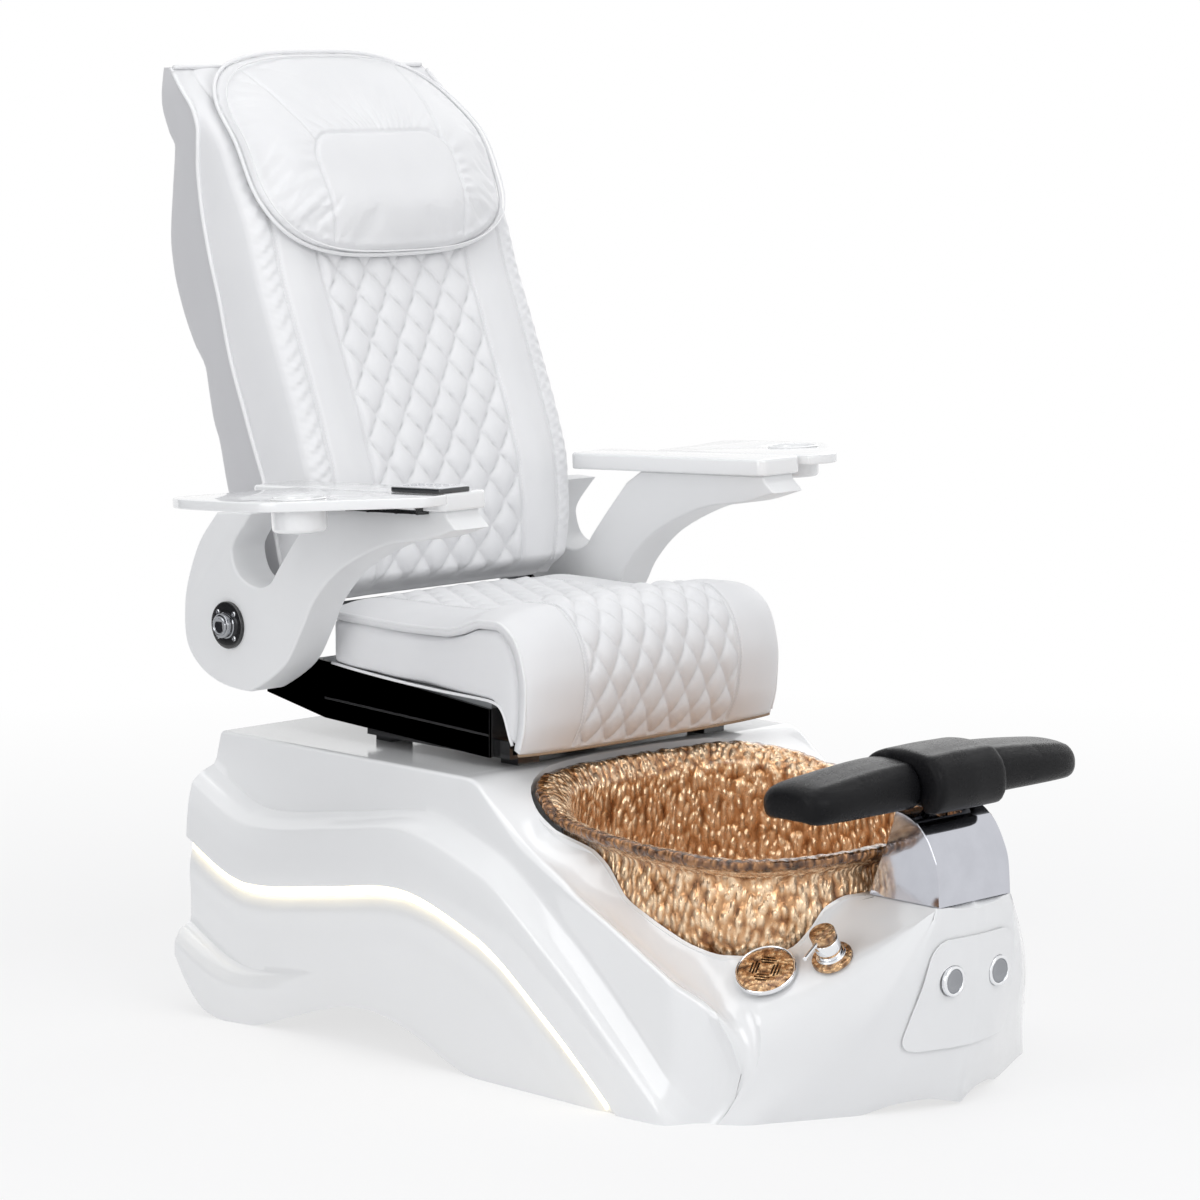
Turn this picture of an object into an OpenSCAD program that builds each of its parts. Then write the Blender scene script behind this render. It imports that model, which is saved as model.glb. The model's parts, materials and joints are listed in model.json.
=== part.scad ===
/* [Overall] */
// Half width of the flat deck that carries the seat
deck_half = 345; // [325:1:360]
// Height of the flat deck above the floor
deck_z = 433; // [424:1:445]
// Rear face of the base
base_rear = 510; // [500:1:540]
// Wall of the moulded base
shell_t = 6; // [4:0.5:8]

/* [Wave ribs] */
// Half width at the light ribbon, at the rear
ribbon_half = 419; // [405:1:430]
// Depth of the recess under the light ribbon
recess_d = 14; // [9:1:18]
// Height of the upper crease above the light line
crease_up = 112; // [104:1:120]
// Drop of the lowest crease below the light line
crease_down = 120; // [112:1:128]
// Thickness of the light strip
strip_t = 6; // [4:0.5:8]

/* [Basin] */
// Half width of the basin's flared rim
rim_half = 315; // [305:1:318]
// Half length of the basin's rim, towards the seat
rim_rear = 293; // [285:1:296]
// Half length of the basin's rim, towards the footrest
rim_front = 290; // [284:1:292]
// Half width of the bowl's wall
bowl_half = 284; // [270:1:286]
// Thickness of the basin glass
glass_t = 8; // [6:0.5:10]
// Height of the basin's underside above the floor
bowl_z = 140; // [130:1:150]
// Centre of the basin along the chair
basin_y = -340; // [-344:1:-336]
// Gap between the bowl and the opening that it passes through
bowl_gap = 5; // [4:0.5:8]

/* [Seat] */
// Half width of the seat cushion
seat_half = 270; // [262:1:276]
// Outer half width of the black seat carriage
tray_half = 266; // [262:0.5:268]
// Thickness of the carriage's side plates
tray_t = 5; // [3:0.5:6]
// Travel of the seat towards the rear
slide_back = 10; // [5:1:12]
// Travel of the seat towards the basin
slide_front = 110; // [60:5:110]
// Side of the square seat rails
rail_w = 20; // [16:1:24]
// Radius of the slide screw's rod
slide_rod_r = 8; // [6:0.5:10]

/* [Backrest] */
// Half width of the backrest
back_half = 284; // [276:1:286]
// Wall of the rear shell
back_shell_t = 4; // [3:0.5:6]
// Height of the recline axis above the floor
pivot_z = 610; // [600:1:620]
// Place of the recline axis along the chair
pivot_y = 455; // [445:1:465]
// Radius of the pivot shafts
pivot_r = 12; // [10:0.5:14]
// Radial running clearance of shafts
run_gap = 0.05; // [0.02:0.01:0.1]
// Radius of the recline actuator's rod
recline_rod_r = 9; // [7:0.5:10]

/* [Armrests] */
// Inner face of the arm panels
arm_in = 303; // [300:1:308]
// Outer face of the arm panels
arm_out = 372; // [362:1:376]
// Inner face of the arm pads
pad_in = 292; // [290:1:296]
// Outer face of the arm pads
pad_out = 384; // [380:1:390]
// Thickness of the arm pads
pad_t = 27; // [22:1:32]
// Slope of the arm pads, rising to the front
pad_slope = 2.8; // [0:0.1:5]
// Radius of the black pivot flange
flange_r = 37; // [32:1:42]
// Outer edge of the side trays
tray_out = 614; // [600:1:630]
// Thickness of the side trays
tray_plate = 15; // [10:1:18]
// Outer radius of the cup holders
cup_r = 41; // [36:1:44]
// Depth of the cup holders below the tray
cup_d = 34; // [28:1:40]

/* [Footrest] */
// Half width of the whole footrest
rest_half = 287; // [270:1:300]
// Half width of the middle pad
rest_mid = 74; // [66:1:80]
// Half width of the chrome pedestal cover
shroud_half = 77; // [72:1:80]
// Wall of the pedestal cover
shroud_t = 3; // [2:0.5:4]
// Travel of the footrest
rest_lift = 50; // [30:5:50]

/* [Controls] */
// Radius of the push buttons
button_r = 17; // [14:0.5:19]
// Travel of the push buttons
button_travel = 3; // [2:0.5:4]
// Half distance between the push buttons
button_x = 49; // [46:1:52]
// Radius of the round vent on the basin ledge
vent_r = 45; // [40:1:48]
// Radius of the mixer's body
mixer_r = 19; // [16:0.5:21]

/* [Hidden] */
$fn = 48;

white = [0.93, 0.93, 0.94];
leather = [0.95, 0.95, 0.96];
black = [0.06, 0.06, 0.07];
chrome = [0.75, 0.77, 0.8];
bronze = [0.62, 0.4, 0.2];
steel = [0.5, 0.52, 0.55];

seat_gap = 0.3;  // between faces of different bodies that nearly touch
tiny = 0.6;      // least height of one row of the base's side

// ---------- curves ----------
function mix(a, b, t) = a + (b - a) * t;
function unit(t) = max(0, min(1, t));
function ease(t) = let(c = unit(t)) c * c * (3 - 2 * c);
function seg(p, u, i = 0) = i >= len(p) - 2 || u < p[i + 1][0] ? i : seg(p, u, i + 1);
function rise(p, i) = (p[i + 1][1] - p[i][1]) / (p[i + 1][0] - p[i][0]);
// slope at a knot that never overshoots the knots beside it
function slope(p, i) =
  i == 0 ? rise(p, 0) :
  i == len(p) - 1 ? rise(p, i - 1) :
  let(a = rise(p, i - 1), b = rise(p, i)) a * b <= 0 ? 0 : 2 * a * b / (a + b);
// height of the smooth curve through the knots [[u, value], ...]
function curve(p, u) =
  let(i = seg(p, u), d = p[i + 1][0] - p[i][0], t = unit((u - p[i][0]) / d), s = t * t, c = s * t)
  (2 * c - 3 * s + 1) * p[i][1] + (c - 2 * s + t) * d * slope(p, i)
  + (3 * s - 2 * c) * p[i + 1][1] + (c - s) * d * slope(p, i + 1);
// the same for knots [u, x, y, z]
function track(p, u) = [for (k = [1:3]) curve([for (q = p) [q[0], q[k]]], u)];

// ---------- meshes ----------
function flip(p) = [p[0] == 0 ? 0 : -p[0], p[1], p[2]];
function order(f, turn) = turn ? [f[2], f[1], f[0]] : f;
// two triangles for each cell of a grid of rows, starting at point number n
function cells(rows, cols, n, turn) = [
  for (r = [0:rows - 2]) for (c = [0:cols - 2])
    let(a = n + r * cols + c, b = a + 1, e = a + cols, f = e + 1)
    for (t = [[a, b, f], [a, f, e]]) order(t, turn)];
function flat(rows) = [for (r = rows) for (p = r) p];
function turned(l) = [for (i = [len(l) - 1:-1:0]) l[i]];
function same(a, b) = norm(a - b) < 0.0001;
// drops triangles that have no area because two corners share a place
function solid_faces(p, f) = [
  for (t = f) if (!same(p[t[0]], p[t[1]]) && !same(p[t[1]], p[t[2]]) && !same(p[t[0]], p[t[2]])) t];
// a closed tube of rings, each a list of points; the ends are fans, or the given triangles
module rings(r, cap = undef) {
  n = len(r[0]);
  m = len(r);
  closed = [for (q = r) concat(q, [q[0]])];
  pts = flat(closed);
  body = cells(m, n + 1, 0, false);
  ends = is_undef(cap) ? [for (i = [1:n - 2]) [0, i + 1, i]] : cap;
  last = (m - 1) * (n + 1);
  far = [for (f = ends) [last + f[2], last + f[1], last + f[0]]];
  polyhedron(points = pts, faces = solid_faces(pts, concat(body, ends, far)), convexity = 8);
}
// a pad: rows of points on its outside, and for each row the two ends of its flat underside
module pad_form(top, under) {
  m = len(top);
  n = len(top[0]);
  pts = concat(flat(top), flat(under));
  u = m * n;
  body = [for (r = [0:m - 2]) for (c = [0:n - 2])
    let(a = r * n + c, b = a + 1, e = a + n, f = e + 1)
    each ((r + c) % 2 == 0 ? [[a, b, f], [a, f, e]] : [[a, b, e], [b, f, e]])];
  below = [for (r = [0:m - 2]) let(a = u + 2 * r, b = a + 1, e = a + 2, f = a + 3) each [[b, a, e], [b, e, f]]];
  left = [for (r = [0:m - 2]) let(a = r * n, e = a + n, p = u + 2 * r, q = p + 2) each [[a, e, q], [a, q, p]]];
  right = [for (r = [0:m - 2]) let(a = r * n + n - 1, e = a + n, p = u + 2 * r + 1, q = p + 2)
    each [[e, a, p], [e, p, q]]];
  start = concat([for (c = [0:n - 2]) [u, c + 1, c]], [[u, u + 1, n - 1]]);
  k = (m - 1) * n;
  w = u + 2 * m - 2;
  finish = concat([for (c = [0:n - 2]) [w, k + c, k + c + 1]], [[w, k + n - 1, w + 1]]);
  faces = concat(body, below, left, right, start, finish);
  polyhedron(points = pts, faces = solid_faces(pts, faces), convexity = 8);
}
// value between knots joined by straight lines
function along(p, u) =
  let(i = seg(p, u)) mix(p[i][1], p[i + 1][1], unit((u - p[i][0]) / (p[i + 1][0] - p[i][0])));
// a round bar from a to b
module bar(a, b, r) {
  d = b - a;
  translate(a)
    rotate([0, acos(d[2] / norm(d)), atan2(d[1], d[0])])
      cylinder(r = r, h = norm(d));
}
// a rectangle with round corners, centred
module soft_square(w, d, r) {
  square([w - 2 * r, d], center = true);
  square([w, d - 2 * r], center = true);
  for (x = [-1, 1])
    for (y = [-1, 1])
      translate([x * (w / 2 - r), y * (d / 2 - r)])
        circle(r);
}
// a side view, drawn as [y, z], given the thickness from x0 to x1
module side_slab(p, x0, x1) {
  translate([x0, 0, 0])
    rotate([90, 0, 90])
      linear_extrude(x1 - x0)
        polygon(p);
}
module both_sides() {
  children();
  mirror([1, 0, 0])
    children();
}
// smooth closed outline through the given points, with n steps for each of them
function loop(p, n) = [
  for (i = [0:len(p) - 1]) for (k = [0:n - 1])
    let(m = len(p), a = p[(i + m - 1) % m], b = p[i], c = p[(i + 1) % m], d = p[(i + 2) % m], t = k / n)
    0.5 * (2 * b + (c - a) * t + (2 * a - 5 * b + 4 * c - d) * t * t + (3 * b - a - 3 * c + d) * t * t * t)];
// outline moved inwards by d; the outline runs anticlockwise
function inset(p, d) = [
  for (i = [0:len(p) - 1])
    let(m = len(p), b = p[i], u = b - p[(i + m - 1) % m], v = p[(i + 1) % m] - b,
      s = [-u[1], u[0]] / norm(u), t = [-v[1], v[0]] / norm(v))
    b + (s + t) * d / (1 + s * t)];

// ---------- moulded base ----------
// the side is drawn against u, the distance in front of the origin, and z
wave_line = [[-555, 292], [-365, 217], [-185, 239], [-35, 259], [135, 214], [285, 115], [435, -10],
  [585, -150]];
hem_line = [[-510, 90], [-480, 45], [-442, 10], [-400, 0], [-350, 1], [-273, 24], [-200, 48], [-144, 61],
  [-100, 64], [-64, 60], [3, 42], [70, 15], [120, 1], [140, 0], [592, 0]];
ribbon_line = [[-510, 0], [-200, -7], [100, -15], [300, -19], [435, -22], [560, -31], [600, -49]];
relief_line = [[-510, 1], [0, 0.9], [250, 0.6], [435, 0.5], [600, 0.3]];
shoulder_line = [[45, 0, 0], [60, 1, 0], [80, 2, -4], [105, 4, -22], [140, 6, -50], [185, 10, -83],
  [225, 13, -102], [270, 16, -122], [310, 19, -140], [380, 22, -170], [450, 25, -203], [520, 28, -235],
  [600, 17, -278]];
nose_line = [[0, 328, -562], [45, 308, -582], [85, 308, -589], [118, 320, -580], [155, 334, -565]];
edge_line = [[0, 302], [20.8, 302], [28.5, 290], [33.7, 259], [39.4, 233], [47, 223], [57.3, 223],
  [66, 233], [74, 250], [82, 268], [90, 287], [98, 330], [105, 350], [113, 375], [120, 388], [128, 405],
  [138, 420], [150, 430], [180, 431]];
turn_line = [[45, 180], [60, 160], [80, 145], [105, 132], [140, 122], [185, 113], [225, 106], [270, 98],
  [310, 90], [370, 81], [430, 74], [500, 67], [560, 61], [600, 57.3]];
front_turn = [[0, 57.3], [0.18, 47], [0.36, 39.4], [0.46, 33.7], [0.55, 28.5], [0.65, 20.8], [0.8, 11.6],
  [0.9, 5.9], [1, 0]];
front_f = [[0, 328, -562, 0], [0.18, 300, -593, 0], [0.36, 264, -611, 0], [0.46, 226, -630, 0],
  [0.55, 196, -645, 0], [0.65, 154, -665, 0], [0.8, 100, -692, 12], [0.9, 56, -710, 15], [1, 0, -728, 4]];
front_a = [[0, 293, -600, 72], [0.18, 248, -634, 74], [0.36, 194, -670, 88], [0.46, 170, -682, 88],
  [0.55, 148, -692, 88], [0.65, 118, -706, 88], [0.8, 74, -726, 90], [0.9, 38, -736, 90], [1, 0, -742, 90]];
front_b = [[0, 287, -608, 119], [0.18, 235, -652, 130], [0.36, 150, -718, 176], [0.46, 135, -724, 182],
  [0.55, 115, -732, 188], [0.65, 90, -740, 190], [0.8, 55, -748, 190], [0.9, 28, -752, 190],
  [1, 0, -753, 190]];
front_c = [[0, 284, -596, 157], [0.18, 243, -643, 173], [0.36, 84, -750, 298], [0.46, 79, -753, 302],
  [0.55, 78, -755, 302], [0.65, 54, -756, 302], [0.8, 32, -757, 302], [0.9, 16, -757, 302],
  [1, 0, -758, 302]];
front_d = [[0, 264, -545, 190], [0.18, 232, -600, 203], [0.36, 145, -672, 250], [0.46, 80, -640, 302],
  [0.55, 78, -612, 302], [0.65, 54, -613, 302], [0.8, 32, -614, 302], [0.9, 16, -614, 302],
  [1, 0, -614, 302]];
side_u = [-base_rear, -480, -442, -400, -365, -320, -273, -235, -200, -144, -100, -64, -20, 10, 45, 60, 80,
  105, 140, 185, 225, 270, 310, 345, 380, 415, 450, 485, 520, 560, 580, 600];
front_v = [0, 0.09, 0.18, 0.27, 0.36, 0.41, 0.46, 0.505, 0.55, 0.6, 0.65, 0.725, 0.8, 0.9, 1];
deck_w = [0, 0.18, 0.36, 0.58, 0.82, 1];

function wave(u) = curve(wave_line, u);
function hem(u) = curve(hem_line, u);
function ribbon(u) = ribbon_half + curve(ribbon_line, u);
function relief(u) = curve(relief_line, u);
function flare(u) = 1 - ease((u + 510) / 330);
function up_at(u) = crease_up + 26 * ease((u + 100) / 500);
function low_at(u) = crease_down + 15 - 28 * ease((u + 400) / 700);
function fade(u) = 1 - ease((u - 60) / 400);
function shoulder_half(u) =
  345 + curve([for (k = shoulder_line) [k[0], k[1]]], u) + (deck_half - 345) * fade(u);
function shoulder_z(u) =
  433 + curve([for (k = shoulder_line) [k[0], k[2]]], u) + (deck_z - 433) * fade(u);
function nose_half(z) = curve([for (k = nose_line) [k[0], k[1]]], z);
function nose_y(z) = curve([for (k = nose_line) [k[0], k[2]]], z);
function nose_share(u) = ease((u - 500) / 100);

// how far the side stands out from the ribbon, against the height above the light line
function outer_shape(u) =
  let(f = flare(u), low = low_at(u), up = up_at(u))
  [[-low - 150, -8 + 36 * f], [-low - 25, -8 + 34 * f], [-low - 1, -8 + 20 * f], [-low, -8], [-85, -8],
   [-58, -6], [-32, -8], [-14, -recess_d], [-1, -recess_d], [3, 0], [30, -2], [62, -6], [90, -14],
   [min(104, up - 6), -34], [up, -61]];
function inner_shape(u) =
  let(f = flare(u), low = low_at(u))
  [[-low - 150, -8 + 36 * f], [-low - 30, -8 + 26 * f], [-low, -8], [-1, -recess_d], [90, -14],
   [up_at(u), -61]];
function side_half(u, z, shape) =
  let(s = z - wave(u), up = up_at(u), start = ribbon(u) - 61 * relief(u))
  s > up ? mix(start, shoulder_half(u), unit((s - up) / max(1, shoulder_z(u) - wave(u) - up)))
  : ribbon(u) + relief(u) * along(shape, s);
function outer_steps(u) =
  let(low = low_at(u), up = up_at(u))
  [999, up, min(104, up - 6), 90, 62, 30, 3, -1, -14, -32, -58, -85, -low, -low - 1, -low - 25, -999];
function inner_steps(u) = [999, up_at(u), 90, -1, -low_at(u), -999];
function side_column(u, steps, shape, t) = [
  for (k = [0:len(steps) - 1])
    let(n = len(steps) - 1, top = shoulder_z(u) - t, q = nose_share(u),
      z = max(hem(u) + (n - k) * tiny, min(top - k * tiny, wave(u) + steps[k])),
      h = mix(side_half(u, z + (k == 0 ? t : 0), shape), nose_half(z), q) - t)
    [-h, min(-u + q * (nose_y(z) + 600), base_rear - t), z]];
function outer_column(u) = side_column(u, outer_steps(u), outer_shape(u), 0);
function inner_column(u) = side_column(u, inner_steps(u), inner_shape(u), shell_t);

function oval(a, bf, br, n, turn) =
  let(b = turn < 90 ? bf : br)
  1 / pow(pow(abs(sin(turn)) / a, n) + pow(abs(cos(turn)) / b, n), 1 / n);
function bowl_r(turn, out) = oval(bowl_half + out, rim_front - 32 + out, rim_rear - 23 + out, 2.6, turn);
function rim_r(turn, out) = oval(rim_half + out, rim_front + out, rim_rear + out, 3, turn);
function edge_r(turn) = mix(bowl_r(turn, bowl_gap), rim_r(turn, 6), ease((turn - 103) / 10));
function edge_point(turn) = [
  0 - edge_r(turn) * sin(turn), basin_y - edge_r(turn) * cos(turn),
  curve(edge_line, turn) + (deck_z - 433) * ease((turn - 90) / 50)];
function side_edge(u) = u < 45 ? [0, -u, deck_z] : edge_point(curve(turn_line, u));
function sag(u) = 8 * ease((u - 105) / 95) + 12 * ease((u - 200) / 350);
// the deck from the shoulder in to the opening's edge
function deck_column(u) =
  let(s = outer_column(u)[0], e = side_edge(u))
  [for (w = deck_w) mix(s, e, w) - [0, 0, sag(u) * 4 * w * (1 - w)]];
function deck_under(u) =
  let(p = deck_column(u), s = inner_column(u)[0])
  [for (i = [0:len(p) - 1]) i == 0 ? s : [p[i][0], min(p[i][1], base_rear - shell_t), p[i][2] - shell_t]];
function left_of(p) = [0 - p[0], p[1], p[2]];
function front_column(v) = concat(
  [for (k = [front_f, front_a, front_b, front_c, front_d]) left_of(track(k, v))],
  [edge_point(curve(front_turn, v))]);
function front_under(v) =
  let(p = front_column(v), t = shell_t, a = 50 + 40 * v, g = 90 * ease(v * 1.2),
    face = [t * cos(a), t * sin(a), 0], foot = [t * cos(g), t * sin(g), 0], down = [0, 0, -t])
  [v == 0 ? inner_column(600)[len(inner_steps(600)) - 1] : p[0] + (v == 1 ? [0, t, 0] : foot),
   p[1] + (v == 1 ? [0, t, 0] : face), p[2] + (v == 1 ? [0, t, 0] : face),
   p[3] + (v == 1 ? [0, t, -t] : face + down), p[4] + down, p[5] + down];
// the nose joins the side's last column to the front's first column
function nose_columns(edge, deck, front) = [
  for (k = [0:len(edge) - 1])
    [for (i = [0:len(deck) - 1]) i == 0 ? edge[k] : mix(deck[i], front[i], k / (len(edge) - 1))]];

module base_shell() {
  sides = [for (u = side_u) outer_column(u)];
  decks = [for (u = side_u) deck_column(u)];
  fronts = [for (v = front_v) front_column(v)];
  walls = [for (u = side_u) inner_column(u)];
  unders = [for (u = side_u) deck_under(u)];
  backs = [for (v = front_v) front_under(v)];
  last = len(side_u) - 1;
  noses = nose_columns(sides[last], decks[last], fronts[0]);
  insides = nose_columns(walls[last], unders[last], backs[0]);
  n = len(sides[0]);
  m = len(walls[0]);
  // strips that close the foot and the opening between the outside and the inside
  foot = [for (i = [0:last]) [sides[i][n - 1], walls[i][m - 1]]];
  toe = [for (i = [0:len(front_v) - 1]) [fronts[i][0], backs[i][0]]];
  lip = concat(
    [for (i = [0:last]) if (side_u[i] >= 45) [decks[i][5], unders[i][5]]],
    [for (i = [1:len(front_v) - 1]) [fronts[i][5], backs[i][5]]]);
  // each grid with the turn of its triangles
  grids = [[sides, true], [decks, false], [noses, false], [fronts, false], [walls, false], [unders, true],
    [insides, true], [backs, true], [foot, true], [toe, true], [lip, false]];
  left_p = [for (g = grids) each flat(g[0])];
  starts = [for (g = 0, s = 0; g < len(grids); s = s + len(grids[g][0]) * len(grids[g][0][0]), g = g + 1) s];
  left_f = [for (g = [0:len(grids) - 1])
    each cells(len(grids[g][0]), len(grids[g][0][0]), starts[g], grids[g][1])];
  k = len(left_p);
  right_p = [for (p = left_p) flip(p)];
  right_f = [for (f = left_f) [f[2] + k, f[1] + k, f[0] + k]];
  // rear wall, outside and inside
  outer_l = sides[0];
  inner_l = walls[0];
  top_o = decks[0];
  top_i = unders[0];
  cap_p = concat(outer_l, [for (p = outer_l) flip(p)], top_o, [for (p = top_o) flip(p)],
    inner_l, [for (p = inner_l) flip(p)], top_i, [for (p = top_i) flip(p)]);
  c = 2 * k;
  d = len(top_o);
  to = c + 2 * n;
  ci = to + 2 * d;
  ti = ci + 2 * m;
  cap_o = concat(
    [for (i = [1:n - 2]) each [[c + i, c + i + 1, c + n + i], [c + i + 1, c + n + i + 1, c + n + i]]],
    [for (i = [0:d - 2]) [c + 1, to + i + 1, to + i]],
    [for (i = [d - 1:-1:1]) [c + 1, to + d + i - 1, to + d + i]],
    [[c + 1, c + n + 1, to + d]]);
  cap_i = concat(
    [for (i = [1:m - 2]) each [[ci + i + 1, ci + i, ci + m + i], [ci + m + i + 1, ci + i + 1, ci + m + i]]],
    [for (i = [0:d - 2]) [ti + i + 1, ci + 1, ti + i]],
    [for (i = [d - 1:-1:1]) [ti + d + i - 1, ci + 1, ti + d + i]],
    [[ci + m + 1, ci + 1, ti + d]]);
  sill = [[c + n - 1, ci + m - 1, c + 2 * n - 1], [ci + m - 1, ci + 2 * m - 1, c + 2 * n - 1]];
  pts = concat(left_p, right_p, cap_p);
  color(white)
    polyhedron(points = pts, faces = solid_faces(pts, concat(left_f, right_f, cap_o, cap_i, sill)),
      convexity = 10);
}

// ---------- light strips in the recess under the ribbon ----------
strip_u = [-504, -480, -442, -400, -365, -320, -273, -235, -200, -144, -100, -64, -20, 10, 45, 80, 140, 185,
  225, 270, 310, 345, 380, 405];
module light_strip_left() {
  color([1, 0.93, 0.75])
    rings([for (u = turned(strip_u))
      let(h = ribbon(u) - recess_d * relief(u) + (u > 400 ? 0.9 : 0.2), z = wave(u), t = strip_t * relief(u),
        y = min(-u, base_rear - 0.5))
      [[-h, y, z - 12], [-h, y, z - 2], [-h - t, y, z - 2], [-h - t, y, z - 12]]]);
}
module light_strip_right() {
  mirror([1, 0, 0])
    light_strip_left();
}

// ---------- basin ----------
rim_line = [[80, 425], [140, 410], [200, 392], [300, 380], [450, 372], [560, 368], [640, 372]];
drain_r = 30;
function rim_z(turn) = curve(rim_line, -basin_y + rim_r(turn, 0) * cos(turn));
// one ring of the basin: kind 0 follows the bowl, kind 1 the rim, kind 2 is round
basin_rings = [[2, drain_r, bowl_z], [2, 100, bowl_z], [0, -114, bowl_z + 7], [0, -49, bowl_z + 32],
  [0, -16, bowl_z + 65], [0, 0, bowl_z + 100], [0, 4, bowl_z + 140], [3, -1, -28], [1, -6, -14], [1, 0, -7],
  [1, -5, 0], [1, -22, -1], [3, -2 - glass_t, -24], [0, 4 - glass_t, bowl_z + 138],
  [0, -glass_t, bowl_z + 100], [0, -16 - glass_t, bowl_z + 67], [0, -48 - glass_t, bowl_z + 38],
  [0, -111 - glass_t, bowl_z + 15], [2, 100, bowl_z + 10], [2, drain_r, bowl_z + 10]];
function basin_point(k, turn) =
  let(low = k[0] == 0 || k[0] == 2, r = k[0] == 2 ? k[1] : k[0] == 1 ? rim_r(turn, k[1]) : bowl_r(turn, k[1]))
  [r * sin(turn), basin_y - r * cos(turn), low ? k[2] : rim_z(turn) + k[2]];
module basin() {
  steps = 60;
  rows = [for (k = concat(basin_rings, [basin_rings[0]]))
    [for (i = [0:steps])
      let(a = (i % steps) * 360 / steps, p = basin_point(k, a > 180 ? 360 - a : a))
      [a > 180 ? 0 - p[0] : p[0], p[1], p[2]]]];
  pts = flat(rows);
  color([0.62, 0.4, 0.2, 0.8])
    polyhedron(points = pts, faces = solid_faces(pts, cells(len(rows), steps + 1, 0, true)), convexity = 8);
}
module basin_cradle() {
  color(steel)
    translate([0, basin_y, 0]) {
      difference() {
        translate([-75, -85, 100])
          cube([150, 170, 6]);
        translate([0, 0, 99])
          cylinder(r = 45, h = 8);
        translate([0, 70, 99])
          cylinder(r = 30, h = 8);
      }
      for (x = [-62, 62])
        for (y = [-50, 50])
          translate([x - 12, y - 12, 106])
            cube([24, 24, bowl_z - 106]);
    }
}
module drain_fitting() {
  color(chrome)
    translate([0, basin_y, 0])
      difference() {
        union() {
          translate([0, 0, bowl_z + 10])
            cylinder(r = 42, h = 3);
          translate([0, 0, 100])
            cylinder(r = drain_r - 0.3, h = bowl_z - 89);
          translate([0, 0, bowl_z - 10])
            cylinder(r = 40, h = 10);
          translate([0, 0, 76])
            cylinder(r = 20, h = 30);
        }
        translate([0, 0, 75])
          cylinder(r = 16, h = 35);
        translate([0, 0, 109])
          cylinder(r = 25, h = bowl_z - 104);
        for (a = [0:60:300])
          rotate(a)
            translate([14, 0, bowl_z])
              cylinder(r = 5, h = 20, $fn = 24);
      }
}
module drain_pipe() {
  color([0.8, 0.8, 0.82])
    translate([0, basin_y, 0])
      difference() {
        union() {
          translate([0, 0, 60])
            cylinder(r = 25, h = 40);
          translate([0, 0, 36])
            cylinder(r = 16, h = 30);
          translate([0, 0, 36])
            sphere(r = 16);
          translate([0, 0, 36])
            rotate([-90, 0, 0])
              cylinder(r = 16, h = 478 - basin_y);
        }
        translate([0, 0, 76])
          cylinder(r = 20 + run_gap, h = 30);
        translate([0, 0, 36])
          cylinder(r = 12, h = 50);
        translate([0, 0, 36])
          rotate([-90, 0, 0])
            cylinder(r = 12, h = 500 - basin_y);
      }
}
module jet_motor() {
  color(black)
    translate([0, basin_y + 70, 0]) {
      translate([0, 0, bowl_z - 30])
        cylinder(r = 26, h = 30);
      translate([0, 0, bowl_z - 36])
        cylinder(r = 20, h = 7);
    }
}
module jet_cover() {
  color(chrome)
    translate([0, basin_y + 72, bowl_z + 10])
      difference() {
        cylinder(r = 26, h = 9);
        translate([0, 0, -1])
          cylinder(r = 22, h = 7);
        for (a = [0:60:300])
          rotate(a)
            translate([13, 0, 5])
              cylinder(r = 4, h = 6, $fn = 24);
      }
}
hose_path = [[0, -240, 470, 97.2], [1, -240, 200, 97.2], [2, -240, -200, 97.2], [3, -242, -440, 97.2],
  [4, -236, -540, 106], [5, -214, -588, 122], [6, -188, -612, 145], [7, -176, -620, 172]];
module supply_hoses() {
  color([0.7, 0.71, 0.73])
    for (d = [[0, 0, 0], [-22, 0, 0]])
      rings([for (s = [0, 1, 2, 2.7, 3, 3.3, 3.7, 4, 4.4, 4.8, 5.2, 5.6, 6, 6.5, 7])
        let(p = track(hose_path, s) + d, e = track(hose_path, s + 0.05) - track(hose_path, s - 0.05),
          u = e / norm(e), side = cross(u, [0, 0, 1]), a = side / norm(side), b = cross(a, u))
        [for (k = [0:9]) p + 7 * (a * cos(36 * k) + b * sin(36 * k))]]);
}

// ---------- frame inside the base ----------
post_x = 200;
module base_frame() {
  under = deck_z - shell_t;
  color(steel) {
    for (x = [-250, 250])
      translate([x - 20, -450, 20])
        cube([40, 930, 40]);
    for (y = [basin_y - 85, basin_y + 45, 25, 245, 380])
      translate([-270, y, 60])
        cube([540, 40, 30]);
    for (y = [basin_y - 85, basin_y + 45])
      translate([-75, y, 90])
        cube([150, 40, 10]);
    for (x = [-post_x, post_x])
      for (y = [45, 265]) {
        translate([x - 20, y - 20, 90])
          cube([40, 40, under - 95]);
        translate([x - 40, y - 35, under - 6])
          cube([80, 70, 6]);
      }
    translate([-24, -720, 60])
      cube([48, basin_y + 720 - 84, 20]);
    translate([-24, -720, 80])
      cube([48, 40, 302 - shell_t - 80]);
  }
}
module levelling_feet() {
  color(black)
    for (x = [-250, 250])
      for (y = [440, 60, -420])
        translate([x, y, 0]) {
          cylinder(r = 22, h = 8);
          cylinder(r = 6, h = 20);
          translate([0, 0, 14])
            cylinder(r = 11, h = 6, $fn = 6);
        }
}
module control_box() {
  color(black) {
    translate([-120, 330, 90])
      cube([180, 120, 90]);
    for (x = [-90, -60, -30, 0, 30])
      translate([x - 6, 318, 110])
        cube([12, 12, 16]);
  }
}
module power_inlet() {
  color(black)
    translate([90, base_rear, 170])
      difference() {
        translate([-30, 0, -22])
          cube([60, 5, 44]);
        translate([-12, 1.5, -9])
          cube([24, 10, 18]);
      }
}

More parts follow.
